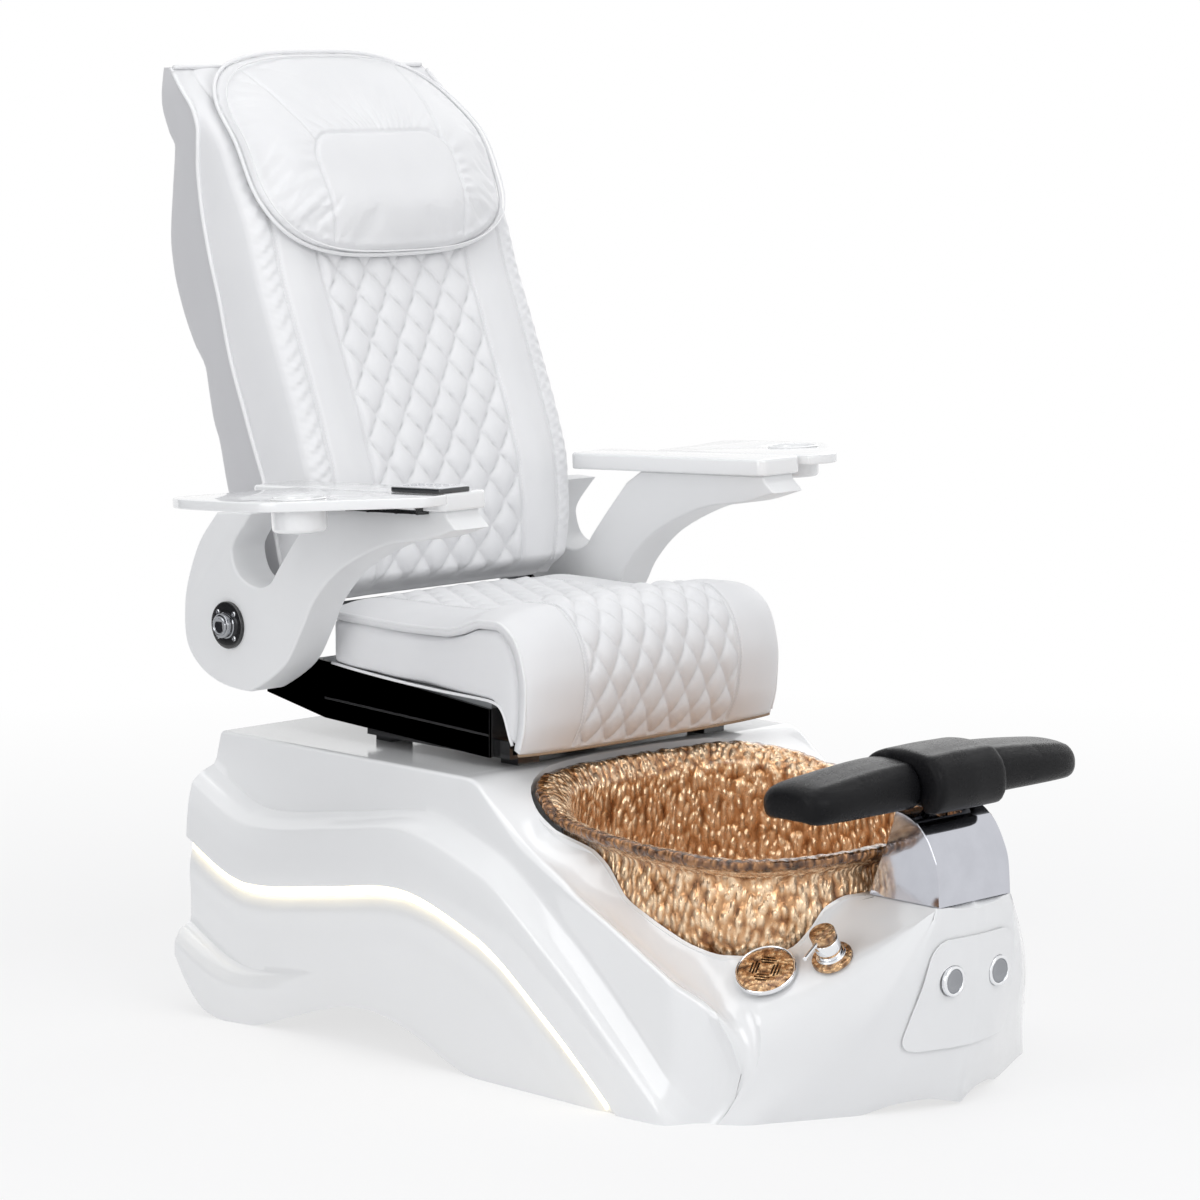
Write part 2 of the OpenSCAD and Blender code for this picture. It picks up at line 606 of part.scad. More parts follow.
// ---------- fittings on the basin's ledge ----------
vent_at = [-239.9, -570.4, 208.3];
vent_tilt = [-0.555, -0.215, 0.803];
mixer_at = [-182.6, -645.4, 230.1];
mixer_tilt = [-0.542, -0.078, 0.837];
module facing(at, n) {
  translate(at)
    rotate([0, acos(n[2] / norm(n)), atan2(n[1], n[0])])
      children();
}
module vent_ring() {
  color(chrome)
    facing(vent_at, vent_tilt)
      difference() {
        cylinder(r = vent_r, h = 6);
        translate([0, 0, 1.5])
          cylinder(r = vent_r - 4, h = 6);
      }
}
module vent_grille() {
  color(bronze)
    facing(vent_at, vent_tilt)
      difference() {
        translate([0, 0, 1.5])
          cylinder(r = vent_r - 4 - run_gap, h = 5);
        for (a = [0:60:300])
          rotate(a)
            for (k = [0:2])
              translate([8 + 8 * k, 0, 3])
                rotate(30)
                  translate([-1.5, -7 - 2 * k, 0])
                    cube([3, 14 + 4 * k, 4]);
      }
}
module mixer_base() {
  facing(mixer_at, mixer_tilt) {
    color(bronze)
      cylinder(r = mixer_r + 11, h = 7);
    color(chrome)
      translate([0, 0, 7])
        cylinder(r = mixer_r + 3, h = 4);
    color(chrome)
      translate([0, 0, 11])
        cylinder(r = mixer_r - 7, h = 14);
  }
}
module mixer_body() {
  color(chrome)
    facing(mixer_at, mixer_tilt)
      difference() {
        union() {
          translate([0, 0, 11 + seat_gap])
            cylinder(r = mixer_r, h = 26);
          translate([0, 0, 37])
            cylinder(r = mixer_r - 6, h = 4);
        }
        translate([0, 0, 10])
          cylinder(r = mixer_r - 7 + run_gap, h = 16);
      }
}
module mixer_handle() {
  facing(mixer_at, mixer_tilt) {
    color(bronze)
      translate([0, 0, 41 + seat_gap])
        cylinder(r = mixer_r, h = 11);
    color(chrome)
      rotate(5)
        bar([mixer_r - 3, 0, 47], [mixer_r + 40, 0, 54], 3);
  }
}

// ---------- front of the base ----------
function panel_rows(v, out) =
  let(p = front_column(v), a = 50 + 40 * v, d = v == 1 ? [0, -out, 0] : [-out * cos(a), -out * sin(a), 0])
  [for (q = [mix(p[1], p[2], 0.03), p[2], mix(p[2], p[3], 0.58)]) q + d];
panel_v = [0.6, 0.65, 0.725, 0.8, 0.9, 1];
module front_panel() {
  // each ring runs up the inside and down the outside
  half = [for (v = panel_v) concat(panel_rows(v, 0.5), turned(panel_rows(v, 2.5)))];
  n = len(half[0]);
  pts = flat([for (q = half) concat(q, [q[0]])]);
  k = len(pts);
  faces = concat(cells(len(half), n + 1, 0, true), [[0, 1, 4], [0, 4, 5], [1, 2, 3], [1, 3, 4]]);
  color(white)
    difference() {
      polyhedron(points = concat(pts, [for (p = pts) flip(p)]),
        faces = solid_faces(concat(pts, [for (p = pts) flip(p)]),
          concat(faces, [for (f = faces) [f[2] + k, f[1] + k, f[0] + k]])), convexity = 4);
      for (x = [-button_x, button_x])
        translate([x, button_y + 20, button_z])
          rotate([90, 0, 0])
            cylinder(r = button_r + 5 + run_gap, h = 40);
    }
}
button_y = -759.3;
button_z = 194;
module button_bezels() {
  color(chrome)
    for (x = [-button_x, button_x])
      translate([x, button_y + 7, button_z])
        rotate([90, 0, 0])
          difference() {
            cylinder(r = button_r + 5, h = 7);
            translate([0, 0, 1])
              cylinder(r = button_r + run_gap, h = 7);
          }
}
module button(x) {
  color(chrome)
    translate([x, button_y + 7 - 1.3 - button_travel, button_z])
      rotate([90, 0, 0])
        difference() {
          cylinder(r = button_r, h = 4);
          translate([0, 0, 2.8])
            cylinder(r1 = button_r - 9, r2 = button_r - 4, h = 1.3);
        }
}
module button_left() {
  button(-button_x);
}
module button_right() {
  button(button_x);
}
cover_side = [[-752, 302], [-617, 302], [-638, 356], [-646, 371], [-662, 415], [-666, 429], [-670, 432],
  [-687, 428], [-704, 420], [-723, 403], [-738, 378], [-748, 350]];
post_y = -682;
module pedestal_cover() {
  hollow = inset(cover_side, shroud_t);
  color(chrome)
    difference() {
      side_slab(cover_side, -shroud_half, shroud_half);
      side_slab(hollow, -shroud_half + shroud_t, shroud_half - shroud_t);
      translate([-shroud_half + shroud_t, -744, 290])
        cube([2 * shroud_half - 2 * shroud_t, 118, 30]);
      translate([-26, -704, 400])
        cube([52, 54, 50]);
    }
}
module footrest_sleeve() {
  color(steel)
    difference() {
      union() {
        translate([-45, post_y - 35, 302])
          cube([90, 75, 6]);
        translate([0, post_y, 308])
          cylinder(r = 20, h = 77);
      }
      translate([0, post_y, 308])
        cylinder(r = 14 + run_gap, h = 80);
    }
}

// ---------- footrest ----------
hinge_z = 430;
rest_z = 446;  // underside of the pads
module footrest_post() {
  color(chrome)
    difference() {
      union() {
        translate([0, post_y, 312])
          cylinder(r = 14, h = 104);
        translate([-12, post_y - 9.5, 405])
          cube([24, 19, 25]);
        translate([-12, post_y, hinge_z])
          rotate([0, 90, 0])
            cylinder(r = 9.5, h = 24);
      }
      translate([-15, post_y, hinge_z])
        rotate([0, 90, 0])
          cylinder(r = 5, h = 30);
    }
}
module footrest_hinge_pin() {
  color(steel)
    translate([-24, post_y, hinge_z])
      rotate([0, 90, 0])
        cylinder(r = 5, h = 48);
}
module footrest_bracket() {
  color(black)
    difference() {
      union() {
        translate([-66, -706, rest_z - 5])
          cube([132, 72, 5]);
        translate([-rest_half + 25, -678, rest_z - 5])
          cube([2 * rest_half - 50, 46, 5]);
        for (x = [-21, 13])
          translate([x, post_y, hinge_z]) {
            rotate([0, 90, 0])
              cylinder(r = 9, h = 8);
            translate([0, -9, 0])
              cube([8, 18, rest_z - hinge_z - 4]);
          }
      }
      translate([-30, post_y, hinge_z])
        rotate([0, 90, 0])
          cylinder(r = 5 + run_gap, h = 60);
      for (p = bolt_at)
        translate([p[0], p[1], rest_z - 6])
          cylinder(r = 3.1, h = 8);
    }
}
bolt_at = [[-45, -690], [45, -690], [-140, -650], [140, -650], [-235, -650], [235, -650]];
module footrest_bolts() {
  color(steel)
    for (p = bolt_at)
      translate([p[0], p[1], rest_z - 9]) {
        cylinder(r = 6, h = 4);
        cylinder(r = 3, h = 8.8);
      }
}
// section of a pad, front to rear, y0..y1, lips at low and crown at high
function pad_ring(x, y0, y1, low, high, k) =
  let(m = (y0 + y1) / 2, d = (y1 - y0) / 2, h = high - low, c = low + h * 0.45)
  [for (q = [[-0.52, (rest_z - low) / h], [-0.56, 0], [-0.82, 0.02], [-0.97, 0.2], [-1, 0.45], [-0.9, 0.74],
    [-0.62, 0.93], [-0.15, 1], [0.3, 0.98], [0.72, 0.86], [0.94, 0.62], [1, 0.35], [0.88, 0.06], [0.56, 0],
    [0.52, (rest_z - low) / h]])
    let(y = m + d * q[0] * k, z = low + h * q[1])
    [x, y, z > c ? c + (z - c) * k : c - (c - z) * min(1, k + 0.15)]];
module pad_middle_form() {
  w = rest_mid;
  rings([for (q = [[-w, 0.93], [-w + 3, 0.98], [-w + 12, 1], [-w * 0.4, 1.01], [0, 1.02], [w * 0.4, 1.01],
    [w - 12, 1], [w - 3, 0.98], [w, 0.93]])
    pad_ring(q[0], -750, -590, 432, 519, q[1])]);
}
module pad_side_form() {
  w = rest_half;
  a = rest_mid + 1;
  rings([for (q = [[a, 0.95], [a + 5, 1], [a + 40, 1.01], [a + 90, 1.01], [a + 140, 1], [w - 40, 0.97],
    [w - 20, 0.9], [w - 8, 0.78], [w - 2, 0.62], [w, 0.5]])
    pad_ring(q[0], -717, -585, 439, 507 - 12 * ease((q[0] - a) / (w - a)), q[1])]);
}
module footrest_pad_left() {
  color(black)
    mirror([1, 0, 0])
      pad_side_form();
}
module footrest_pad_right() {
  color(black)
    pad_side_form();
}
module footrest_pad_middle() {
  color(black)
    pad_middle_form();
}

// ---------- seat base and carriage ----------
seat_base_z = 448;
rail_x = 180;
rail_top = 475 + rail_w;
plate_z = rail_top + seat_gap;
motor_z = 472;
module seat_base() {
  color(black) {
    translate([-255, -57, seat_base_z])
      cube([510, 322, 6]);
    for (x = [-255, 249])
      translate([x, -57, seat_base_z + 6])
        cube([6, 322, 21]);
    for (x = [-rail_x - 12, rail_x - 12])
      translate([x, -52, seat_base_z + 6])
        cube([24, 304, 21]);
    translate([-20, -46, seat_base_z + 6])
      cube([40, 20, motor_z - seat_base_z - 20]);
    translate([-20, 95, seat_base_z + 6])
      cube([40, 20, motor_z - seat_base_z - 20]);
    for (x = [-post_x - 22, post_x - 22])
      for (y = [-40, 246])
        translate([x, y, deck_z])
          cube([44, y < 0 ? 38 : 36, seat_base_z - deck_z]);
  }
}
module seat_rails() {
  color(steel)
    for (x = [-rail_x, rail_x])
      translate([x - rail_w / 2, -50, 475])
        cube([rail_w, 300, rail_w]);
}
module slide_motor() {
  color(steel)
    translate([0, -52, motor_z])
      rotate([-90, 0, 0])
        difference() {
          cylinder(r = 14, h = 177);
          translate([0, 0, 14])
            cylinder(r = slide_rod_r + run_gap, h = 170);
        }
}
module slide_rod() {
  color(chrome)
    translate([0, 75, motor_z])
      rotate([-90, 0, 0])
        cylinder(r = slide_rod_r, h = 225);
}
skirt_side = [[-24, 448], [352, 464], [492, 489], [486, 600], [478, 622], [462, 632], [448, 632], [434, 622],
  [387, 557], [-24, 522]];
function skirt_top(y) = 522 + (y + 24) * 35 / 411;
module seat_carriage() {
  color(black)
    difference() {
      union() {
        both_sides() {
          side_slab(skirt_side, tray_half - tray_t, tray_half);
          translate([rail_x + rail_w / 2 + seat_gap, -10, plate_z - 16])
            cube([8, 240, 17]);
          translate([rail_x - rail_w / 2 - seat_gap - 8, -10, plate_z - 16])
            cube([8, 240, 17]);
        }
        translate([-tray_half + tray_t, -24, plate_z])
          cube([2 * tray_half - 2 * tray_t, 411, 5]);
        translate([-15, 290, motor_z - 12])
          cube([30, 10, plate_z - motor_z + 13]);
      }
      translate([-300, pivot_y, pivot_z])
        rotate([0, 90, 0])
          cylinder(r = pivot_r + run_gap, h = 600);
      translate([0, 280, motor_z])
        rotate([-90, 0, 0])
          cylinder(r = slide_rod_r, h = 30);
    }
}
module seat_pan() {
  base = plate_z + 5;
  sheet = concat([[-20, skirt_top(-20) - 9], [376, skirt_top(376) - 9], [376, skirt_top(376) - 1]],
    [for (i = [0:5]) [cushion_low[i][2], cushion_low[i][3] - 0.4]]);
  color(steel) {
    side_slab(sheet, -258, 258);
    for (x = [-210, 55, -61, 204])
      side_slab([[-20, base], [376, base], [376, skirt_top(376) - 9], [-20, skirt_top(-20) - 9]], x, x + 6);
  }
}
// inner line of the seat cover and the line of its welted edge, [step, y, z]
cover_in = [[0, 0, 336, 622], [1, 0, 279, 621], [2, 0, 172, 619], [3, 0, 67, 622], [4, 0, -7, 642],
  [5, 0, -42, 643], [6, 0, -67, 628], [7, 0, -83, 603], [8, 0, -92, 557], [9, 0, -90, 507], [10, 0, -82, 467]];
cover_out = [[0, 0, 336, 634], [1, 0, 279, 633], [2, 0, 172, 631], [3, 0, 67, 634], [4, 0, -7, 654],
  [5, 0, -44, 655], [6, 0, -79, 638], [7, 0, -98, 606], [8, 0, -108, 557], [9, 0, -105, 507],
  [10, 0, -94, 463]];
cover_crown = [[0, 0, 336, 648], [1, 0, 279, 650], [2, 0, 172, 651], [3, 0, 67, 656], [4, 0, -5, 675],
  [5, 0, -52, 677], [6, 0, -97, 655], [7, 0, -124, 617], [8, 0, -134, 570], [9, 0, -125, 512],
  [10, 0, -96, 458]];
cushion_low = [[0, 0, 336, 553], [1, 0, 279, 548], [2, 0, 172, 541], [3, 0, 67, 537], [4, 0, 10, 536],
  [5, 0, -21, 535], [6, 0, -45, 530], [7, 0, -58, 515], [8, 0, -64, 500], [9, 0, -70, 484],
  [10, 0, -76, 472]];
module seat_cushion() {
  w = seat_half;
  steps = [for (i = [0:0.5:10]) i];
  color(leather)
    rings([for (q = [[-w, 7.4], [-w + 2, 3.4], [-w + 9, 0.4], [w - 9, 0.4], [w - 2, 3.4], [w, 7.4]])
      let(o = [for (i = [0:30]) let(p = track(cover_in, i / 3)) [p[1], p[2]]],
        u = [for (s = steps) let(p = track(cushion_low, s)) [p[1], p[2]]],
        round = concat(u, turned(o)),
        mid = [120, 580])
      [for (p = round) let(d = p - mid) [q[0], p[0] - q[1] * d[0] / norm(d), p[1] - q[1] * d[1] / norm(d)]]]);
}
quilt = 23;  // half the pitch of the seat's diamonds
module seat_cover() {
  w = seat_half + 1;
  half_cells = 7;
  rows = 30;
  xs = concat([-w, -w + 6, -w + 22, -w + 60], [for (i = [-half_cells:half_cells]) i * quilt],
    [w - 60, w - 22, w - 6, w]);
  top = [for (r = [0:rows])
    let(s = r * 10 / rows, a = track(cover_out, s), b = track(cover_crown, s), n = (b - a) / norm(b - a))
    [for (c = [0:len(xs) - 1])
      let(x = xs[c], k = 1 - pow(abs(x) / w, 2.6), inside = abs(x) < (half_cells + 0.5) * quilt,
        bump = inside && r > 0 && r < rows ? ((r + c) % 2 == 0 ? -3.5 : 2.5) : 0,
        p = mix(a, b, pow(max(0, k), 0.6)))
      [x, p[1] + n[1] * bump, p[2] + n[2] * bump]]];
  under = [for (r = [0:rows]) let(p = track(cover_in, r * 10 / rows)) [[-w, p[1], p[2]], [w, p[1], p[2]]]];
  color(leather)
    pad_form(top, under);
}

// ---------- backrest, drawn against height ----------
back_front = [[640, 353], [730, 346], [828, 355], [892, 374], [1004, 418], [1089, 453], [1144, 476],
  [1215, 499], [1285, 537], [1352, 574], [1411, 634], [1470, 693]];
back_edge = [[640, 441], [700, 448], [800, 470], [919, 517], [1019, 557], [1101, 580], [1187, 608],
  [1263, 628], [1320, 636], [1365, 636], [1395, 646], [1440, 688], [1468, 718]];
back_rear = [[640, 531], [700, 547], [816, 580], [882, 595], [912, 608], [958, 619], [995, 627], [1032, 654],
  [1088, 683], [1146, 703], [1202, 711], [1280, 707], [1341, 703], [1364, 718], [1413, 738], [1462, 741]];
back_width = [[640, -14], [760, -4], [900, 0], [1150, 0], [1300, -4], [1420, -8], [1470, -16]];
function back_w(z) = back_half + curve(back_width, z);
back_rows = concat([641, 650], [for (i = [1:18]) 650 + i * 30],
  [1225, 1265, 1305, 1345, 1380, 1415, 1445, 1465]);
rear_crown = 18.3;
module back_shell() {
  t = back_shell_t;
  color(white)
    rings([for (z = back_rows)
      let(w = back_w(z), e = curve(back_edge, z) + 0.3, r = max(curve(back_rear, z), e + 22),
        half = w * 0.5, bulge = r + 0.75 * rear_crown, crest = r + rear_crown)
      [for (q = [[-w, e], [-w + 1, r - 16], [-w + 8, r - 6], [-w + 24, r], [-half, bulge], [0, crest],
        [half, bulge], [w - 24, r], [w - 8, r - 6], [w - 1, r - 16], [w, e], [w - 26, e], [w - 26, e + t],
        [w - t, e + t], [w - t - 1, r - 17], [w - t - 7, r - t - 6], [w - 25, r - t], [half, bulge - t],
        [0, crest - t], [-half, bulge - t], [-w + 25, r - t], [-w + t + 7, r - t - 6],
        [-w + t + 1, r - 17], [-w + t, e + t], [-w + 26, e + t], [-w + 26, e]])
        [q[0], q[1], z]]],
      cap = concat([[0, 25, 24], [0, 24, 23]],
        [for (i = [0:8]) each [[i, 23 - i, 22 - i], [i, 22 - i, i + 1]]],
        [[9, 14, 13], [9, 13, 10], [10, 13, 12], [10, 12, 11]]));
}
back_pitch = 29;  // half the pitch of the back's diamonds
module back_cushion() {
  half_cells = 5;
  zs = turned(back_rows);
  top = [for (r = [0:len(zs) - 1])
    let(z = zs[r], w = back_w(z) - 3, f = curve(back_front, z), e = curve(back_edge, z),
      tip = ease((z - 1380) / 90), foot = 1 - ease((z - 640) / 40), pull = 22 * tip + 34 * foot,
      xs = concat([-w, -w - 2, -w + 14, -w + 44, -w + 86], [for (i = [-half_cells:half_cells]) i * back_pitch],
        [w - 86, w - 44, w - 14, w + 2, w]))
    [for (c = [0:len(xs) - 1])
      let(x = xs[c], k = abs(x) / w, inside = abs(x) < (half_cells + 0.5) * back_pitch,
        bump = inside && z > 651 && z < 1200 ? ((r + c) % 2 == 0 ? 4 : -4) : 0,
        y = c == 0 || c == len(xs) - 1 ? e : c == 1 || c == len(xs) - 2 ? mix(e, f + pull, 0.45)
          : f + pull + bump + (k > 0.9 ? 14 : k > 0.8 ? 2 : k > 0.6 ? -2 : 3))
      [x, min(y, e - 1 + (c == 0 || c == len(xs) - 1 ? 1 : 0)), z]]];
  under = [for (z = zs) let(w = back_w(z) - 3, e = curve(back_edge, z)) [[-w, e, z], [w, e, z]]];
  color(leather)
    pad_form(top, under);
}
pillow_width = [[1170, 120], [1178, 165], [1195, 210], [1225, 240], [1270, 255], [1330, 262], [1390, 260],
  [1435, 248], [1462, 228], [1480, 195], [1488, 150]];
module head_pillow() {
  zs = turned([1170, 1178, 1195, 1225, 1260, 1300, 1340, 1380, 1410, 1435, 1462, 1480, 1488]);
  parts = [-1, -0.96, -0.86, -0.7, -0.5, -0.25, 0, 0.25, 0.5, 0.7, 0.86, 0.96, 1];
  back = [for (z = zs) curve(back_front, min(z, 1470)) - 3.7 + max(0, z - 1470) * 0.4];
  top = [for (r = [0:len(zs) - 1])
    let(z = zs[r], w = curve(pillow_width, z), v = (z - 1170) / 318, rise = pow(max(0, 4 * v * (1 - v)), 0.45))
    [for (q = parts)
      let(edge = pow(max(0, 1 - pow(abs(q), 5)), 0.5), d = 8 + 44 * rise * edge)
      [q * w, back[r] - (abs(q) == 1 ? 5 : d), z]]];
  under = [for (r = [0:len(zs) - 1]) let(w = curve(pillow_width, zs[r])) [[-w, back[r], zs[r]], [w, back[r], zs[r]]]];
  color(leather)
    pad_form(top, under);
}
leg_x = 234;
module along_track() {
  translate([0, 512, 720])
    rotate([-atan(143 / 515), 0, 0])
      children();
}
module back_frame() {
  color(steel)
    difference() {
      union() {
        both_sides() {
          translate([leg_x, pivot_y, pivot_z])
            rotate([0, 90, 0])
              cylinder(r = 22, h = 18);
          side_slab([[445, 612], [474, 598], [505, 660], [528, 715], [672, 1257], [648, 1263], [500, 716],
            [470, 660]], leg_x, leg_x + 18);
        }
        translate([-leg_x, pivot_y, pivot_z])
          rotate([0, 90, 0])
            cylinder(r = 14, h = 2 * leg_x);
        along_track() {
          translate([-271, -8, -8])
            cube([542, 16, 16]);
          translate([-276, -8, 526])
            cube([552, 16, 16]);
        }
        translate([136, pivot_y - 13, pivot_z - 122])
          cube([8, 26, 122]);
      }
      both_sides()
        translate([leg_x + 1, pivot_y, pivot_z])
          rotate([0, 90, 0])
            cylinder(r = pivot_r + run_gap, h = 40);
      translate([130, pivot_y, rod_z])
        rotate([0, 90, 0])
          cylinder(r = 6.6, h = 20);
      translate([130, pivot_y - 6.6, rod_z - 15])
        cube([20, 13.2, 15]);
      translate([130, pivot_y, rod_z - 15])
        rotate([0, 90, 0])
          cylinder(r = 6.6, h = 20);
    }
}
rod_z = 514;
module recline_motor() {
  color(black) {
    translate([120, 152, rod_z])
      rotate([-90, 0, 0])
        difference() {
          cylinder(r = 13, h = 180);
          translate([0, 0, 0.5])
            cylinder(r = recline_rod_r + run_gap, h = 190);
        }
  }
}
module recline_rod() {
  color(chrome) {
    translate([120, 202, rod_z])
      rotate([-90, 0, 0])
        cylinder(r = recline_rod_r, h = 240);
    translate([112, pivot_y - 15, rod_z - 10])
      cube([18, 25, 20]);
    translate([130, pivot_y, rod_z])
      rotate([0, 90, 0])
        cylinder(r = 5, h = 18);
  }
}
module massage_track() {
  color(steel)
    along_track()
      for (x = [-70, 70])
        translate([x, 0, 8])
          cylinder(r = 6, h = 518);
}
module massage_carriage() {
  color(black)
    along_track()
      difference() {
        union() {
          translate([-95, -11, 225])
            cube([190, 22, 80]);
          for (x = [-55, 55])
            translate([x - 14, -20, 265])
              rotate([0, 90, 0])
                cylinder(r = 16, h = 28);
        }
        for (x = [-70, 70])
          translate([x, 0, 200])
            cylinder(r = 6 + run_gap, h = 120);
      }
}

// ---------- armrests ----------
module pivot_hubs() {
  both_sides()
    translate([0, pivot_y, pivot_z])
      rotate([0, 90, 0]) {
        color(steel)
          translate([0, 0, leg_x + 3])
            cylinder(r = pivot_r, h = arm_out - leg_x);
        color(black)
          translate([0, 0, arm_out + seat_gap])
            difference() {
              cylinder(r = flange_r, h = 6);
              for (a = [45:90:315])
                rotate(a)
                  translate([flange_r - 10, 0, 4])
                    cylinder(r = 3.5, h = 3);
            }
        color(chrome)
          translate([0, 0, arm_out + 6]) {
            cylinder(r = 19, h = 12);
            translate([0, 0, 12])
              cylinder(r1 = 15, r2 = 12, h = 4);
          }
      }
}
arm_line = [[-77, 829], [-68, 804], [1, 783], [90, 767], [193, 720], [252, 668], [283, 619], [324, 560],
  [392, 517], [421, 510], [482, 516], [531, 537], [562, 573], [566, 630], [555, 677], [527, 735], [484, 783]];
arm_back = [[440, 789], [400, 788], [441, 743], [446, 719], [430, 689], [389, 675], [358, 684], [338, 708],
  [304, 748], [262, 795]];
arm_mid = [0, 166.5, 846.5];
// children are placed in the sloping frame of the arm pad, with its top at zero
module on_arm() {
  translate(arm_mid)
    rotate([-pad_slope, 0, 0])
      children();
}
function under_pad(y) = arm_mid[2] - (y - arm_mid[1]) * tan(pad_slope) - pad_t / cos(pad_slope);
// smooth open line through the points
function smooth(p, n) = concat(
  [for (i = [0:len(p) - 2]) for (k = [0:n - 1])
    let(a = p[max(0, i - 1)], b = p[i], c = p[i + 1], d = p[min(len(p) - 1, i + 2)], t = k / n)
    0.5 * (2 * b + (c - a) * t + (2 * a - 5 * b + 4 * c - d) * t * t + (3 * b - a - 3 * c + d) * t * t * t)],
  [p[len(p) - 1]]);
module arm_panel() {
  front = concat([[-44, under_pad(-44)], [-47, 822]], smooth([for (i = [1:16]) arm_line[i]], 3));
  rear = concat(smooth([for (i = [1:9]) arm_back[i]], 3), [[228, under_pad(228)]]);
  outline = concat(front, [arm_back[0]], rear);
  thin = 2.5;
  difference() {
    union() {
      side_slab(outline, arm_in + thin, arm_out - thin);
      side_slab(inset(outline, 2), arm_in, arm_out);
    }
    translate([arm_in - 1, pivot_y, pivot_z])
      rotate([0, 90, 0])
        cylinder(r = pivot_r + run_gap, h = 100);
  }
}
module arm_panel_right() {
  color(white)
    arm_panel();
}
module arm_panel_left() {
  color(white)
    mirror([1, 0, 0])
      arm_panel();
}
module arm_pad() {
  w = pad_out - pad_in;
  on_arm()
    translate([(pad_in + pad_out) / 2, 0, -pad_t]) {
      linear_extrude(pad_t - 2)
        soft_square(w, 437, 14);
      translate([0, 0, pad_t - 2])
        linear_extrude(2)
          soft_square(w - 3, 434, 12.5);
    }
}
module arm_pad_right() {
  color(white)
    arm_pad();
}
module arm_pad_left() {
  color(white)
    mirror([1, 0, 0])
      arm_pad();
}
module touch_remote() {
  color(black)
    on_arm()
      translate([-355, -161, 0.2]) {
        linear_extrude(7)
          soft_square(60, 112, 5);
        translate([0, 0, 7])
          linear_extrude(1.5)
            soft_square(56, 108, 4);
      }
}
fold_x = 392;
fold_z = -19;
cup_x = 528;
cup_y = -66;
function tray_plan() =
  concat([[386, 106], [386, -228], [392, -236]],
    smooth([[425, -243], [452, -232], [520, -162], [577, -105], [600, -70], [611, -20], [tray_out, 40],
      [tray_out - 1, 104], [598, 140], [564, 146], [490, 124], [405, 111]], 3));
knuckles = [-170, -60, 50];
module side_tray() {
  on_arm()
    difference() {
      union() {
        translate([0, 0, -tray_plate])
          linear_extrude(tray_plate - 1.5)
            polygon(tray_plan());
        translate([0, 0, -1.5])
          linear_extrude(1.5)
            polygon(inset(tray_plan(), 1.5));
        for (y = knuckles)
          translate([fold_x, y, fold_z])
            rotate([-90, 0, 0])
              cylinder(r = 5.8, h = 40);
      }
      for (y = knuckles)
        translate([fold_x, y - 1, fold_z])
          rotate([-90, 0, 0])
            cylinder(r = 3 + run_gap, h = 42);
      for (y = knuckles)
        for (e = [y - 30.3, y + 40])
          translate([fold_x - 7, e, fold_z - 7])
            cube([14, 30.3, 11.2]);
      translate([cup_x, cup_y, -20])
        cylinder(r = cup_r - 4, h = 30);
      translate([cup_x, cup_y, -2])
        cylinder(r1 = cup_r - 4, r2 = cup_r - 1, h = 3);
    }
}
module tray_right() {
  color(white)
    side_tray();
}
module tray_left() {
  color(white)
    mirror([1, 0, 0])
      side_tray();
}
module cup() {
  on_arm()
    translate([cup_x, cup_y, -tray_plate - cup_d])
      difference() {
        union() {
          translate([0, 0, 4])
            cylinder(r = cup_r, h = cup_d - 4);
          cylinder(r1 = cup_r - 4, r2 = cup_r, h = 4);
        }
        translate([0, 0, 3])
          cylinder(r = cup_r - 4, h = cup_d);
      }
}
module cup_right() {
  color(white)
    cup();
}
module cup_left() {
  color(white)
    mirror([1, 0, 0])
      cup();
}
module tray_hinge() {
  on_arm() {
    translate([fold_x, -176, fold_z])
      rotate([-90, 0, 0])
        cylinder(r = 3, h = 272);
    for (y = [-176, -129, -66, -19, 44, 91])
      translate([fold_x, y, fold_z]) {
        rotate([-90, 0, 0])
          cylinder(r = 3.8, h = 5.6);
        translate([-8, 0, -12.5])
          cube([10, 5.6, 10]);
      }
    translate([373, -176, -pad_t - 5])
      cube([11, 272.6, 5]);
    for (y = [-176, -129, -66, -19, 44, 91])
      translate([376, y, -pad_t - 5])
        cube([10, 5.6, 4.9]);
  }
}
module tray_hinge_right() {
  color(black)
    tray_hinge();
}
module tray_hinge_left() {
  color(black)
    mirror([1, 0, 0])
      tray_hinge();
}

base_shell();
base_frame();
levelling_feet();
basin();
basin_cradle();
drain_fitting();
drain_pipe();
jet_motor();
jet_cover();
supply_hoses();
mixer_base();
mixer_body();
mixer_handle();
vent_ring();
vent_grille();
light_strip_left();
light_strip_right();
front_panel();
button_bezels();
button_left();
button_right();
pedestal_cover();
footrest_sleeve();
footrest_post();
footrest_hinge_pin();
footrest_bracket();
footrest_pad_left();
footrest_pad_middle();
footrest_pad_right();
footrest_bolts();
seat_base();
seat_rails();
seat_carriage();
slide_motor();
slide_rod();
seat_pan();
seat_cushion();
seat_cover();
back_frame();
back_shell();
back_cushion();
head_pillow();
massage_track();
massage_carriage();
recline_motor();
recline_rod();
pivot_hubs();
arm_panel_left();
arm_panel_right();
arm_pad_left();
arm_pad_right();
touch_remote();
tray_left();
tray_right();
cup_left();
cup_right();
tray_hinge_left();
tray_hinge_right();
control_box();
power_inlet();
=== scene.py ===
# Pedicure spa chair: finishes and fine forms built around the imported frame, in metres.
import json
import math
import bpy
import bmesh
import numpy as np
from mathutils import Matrix, Vector


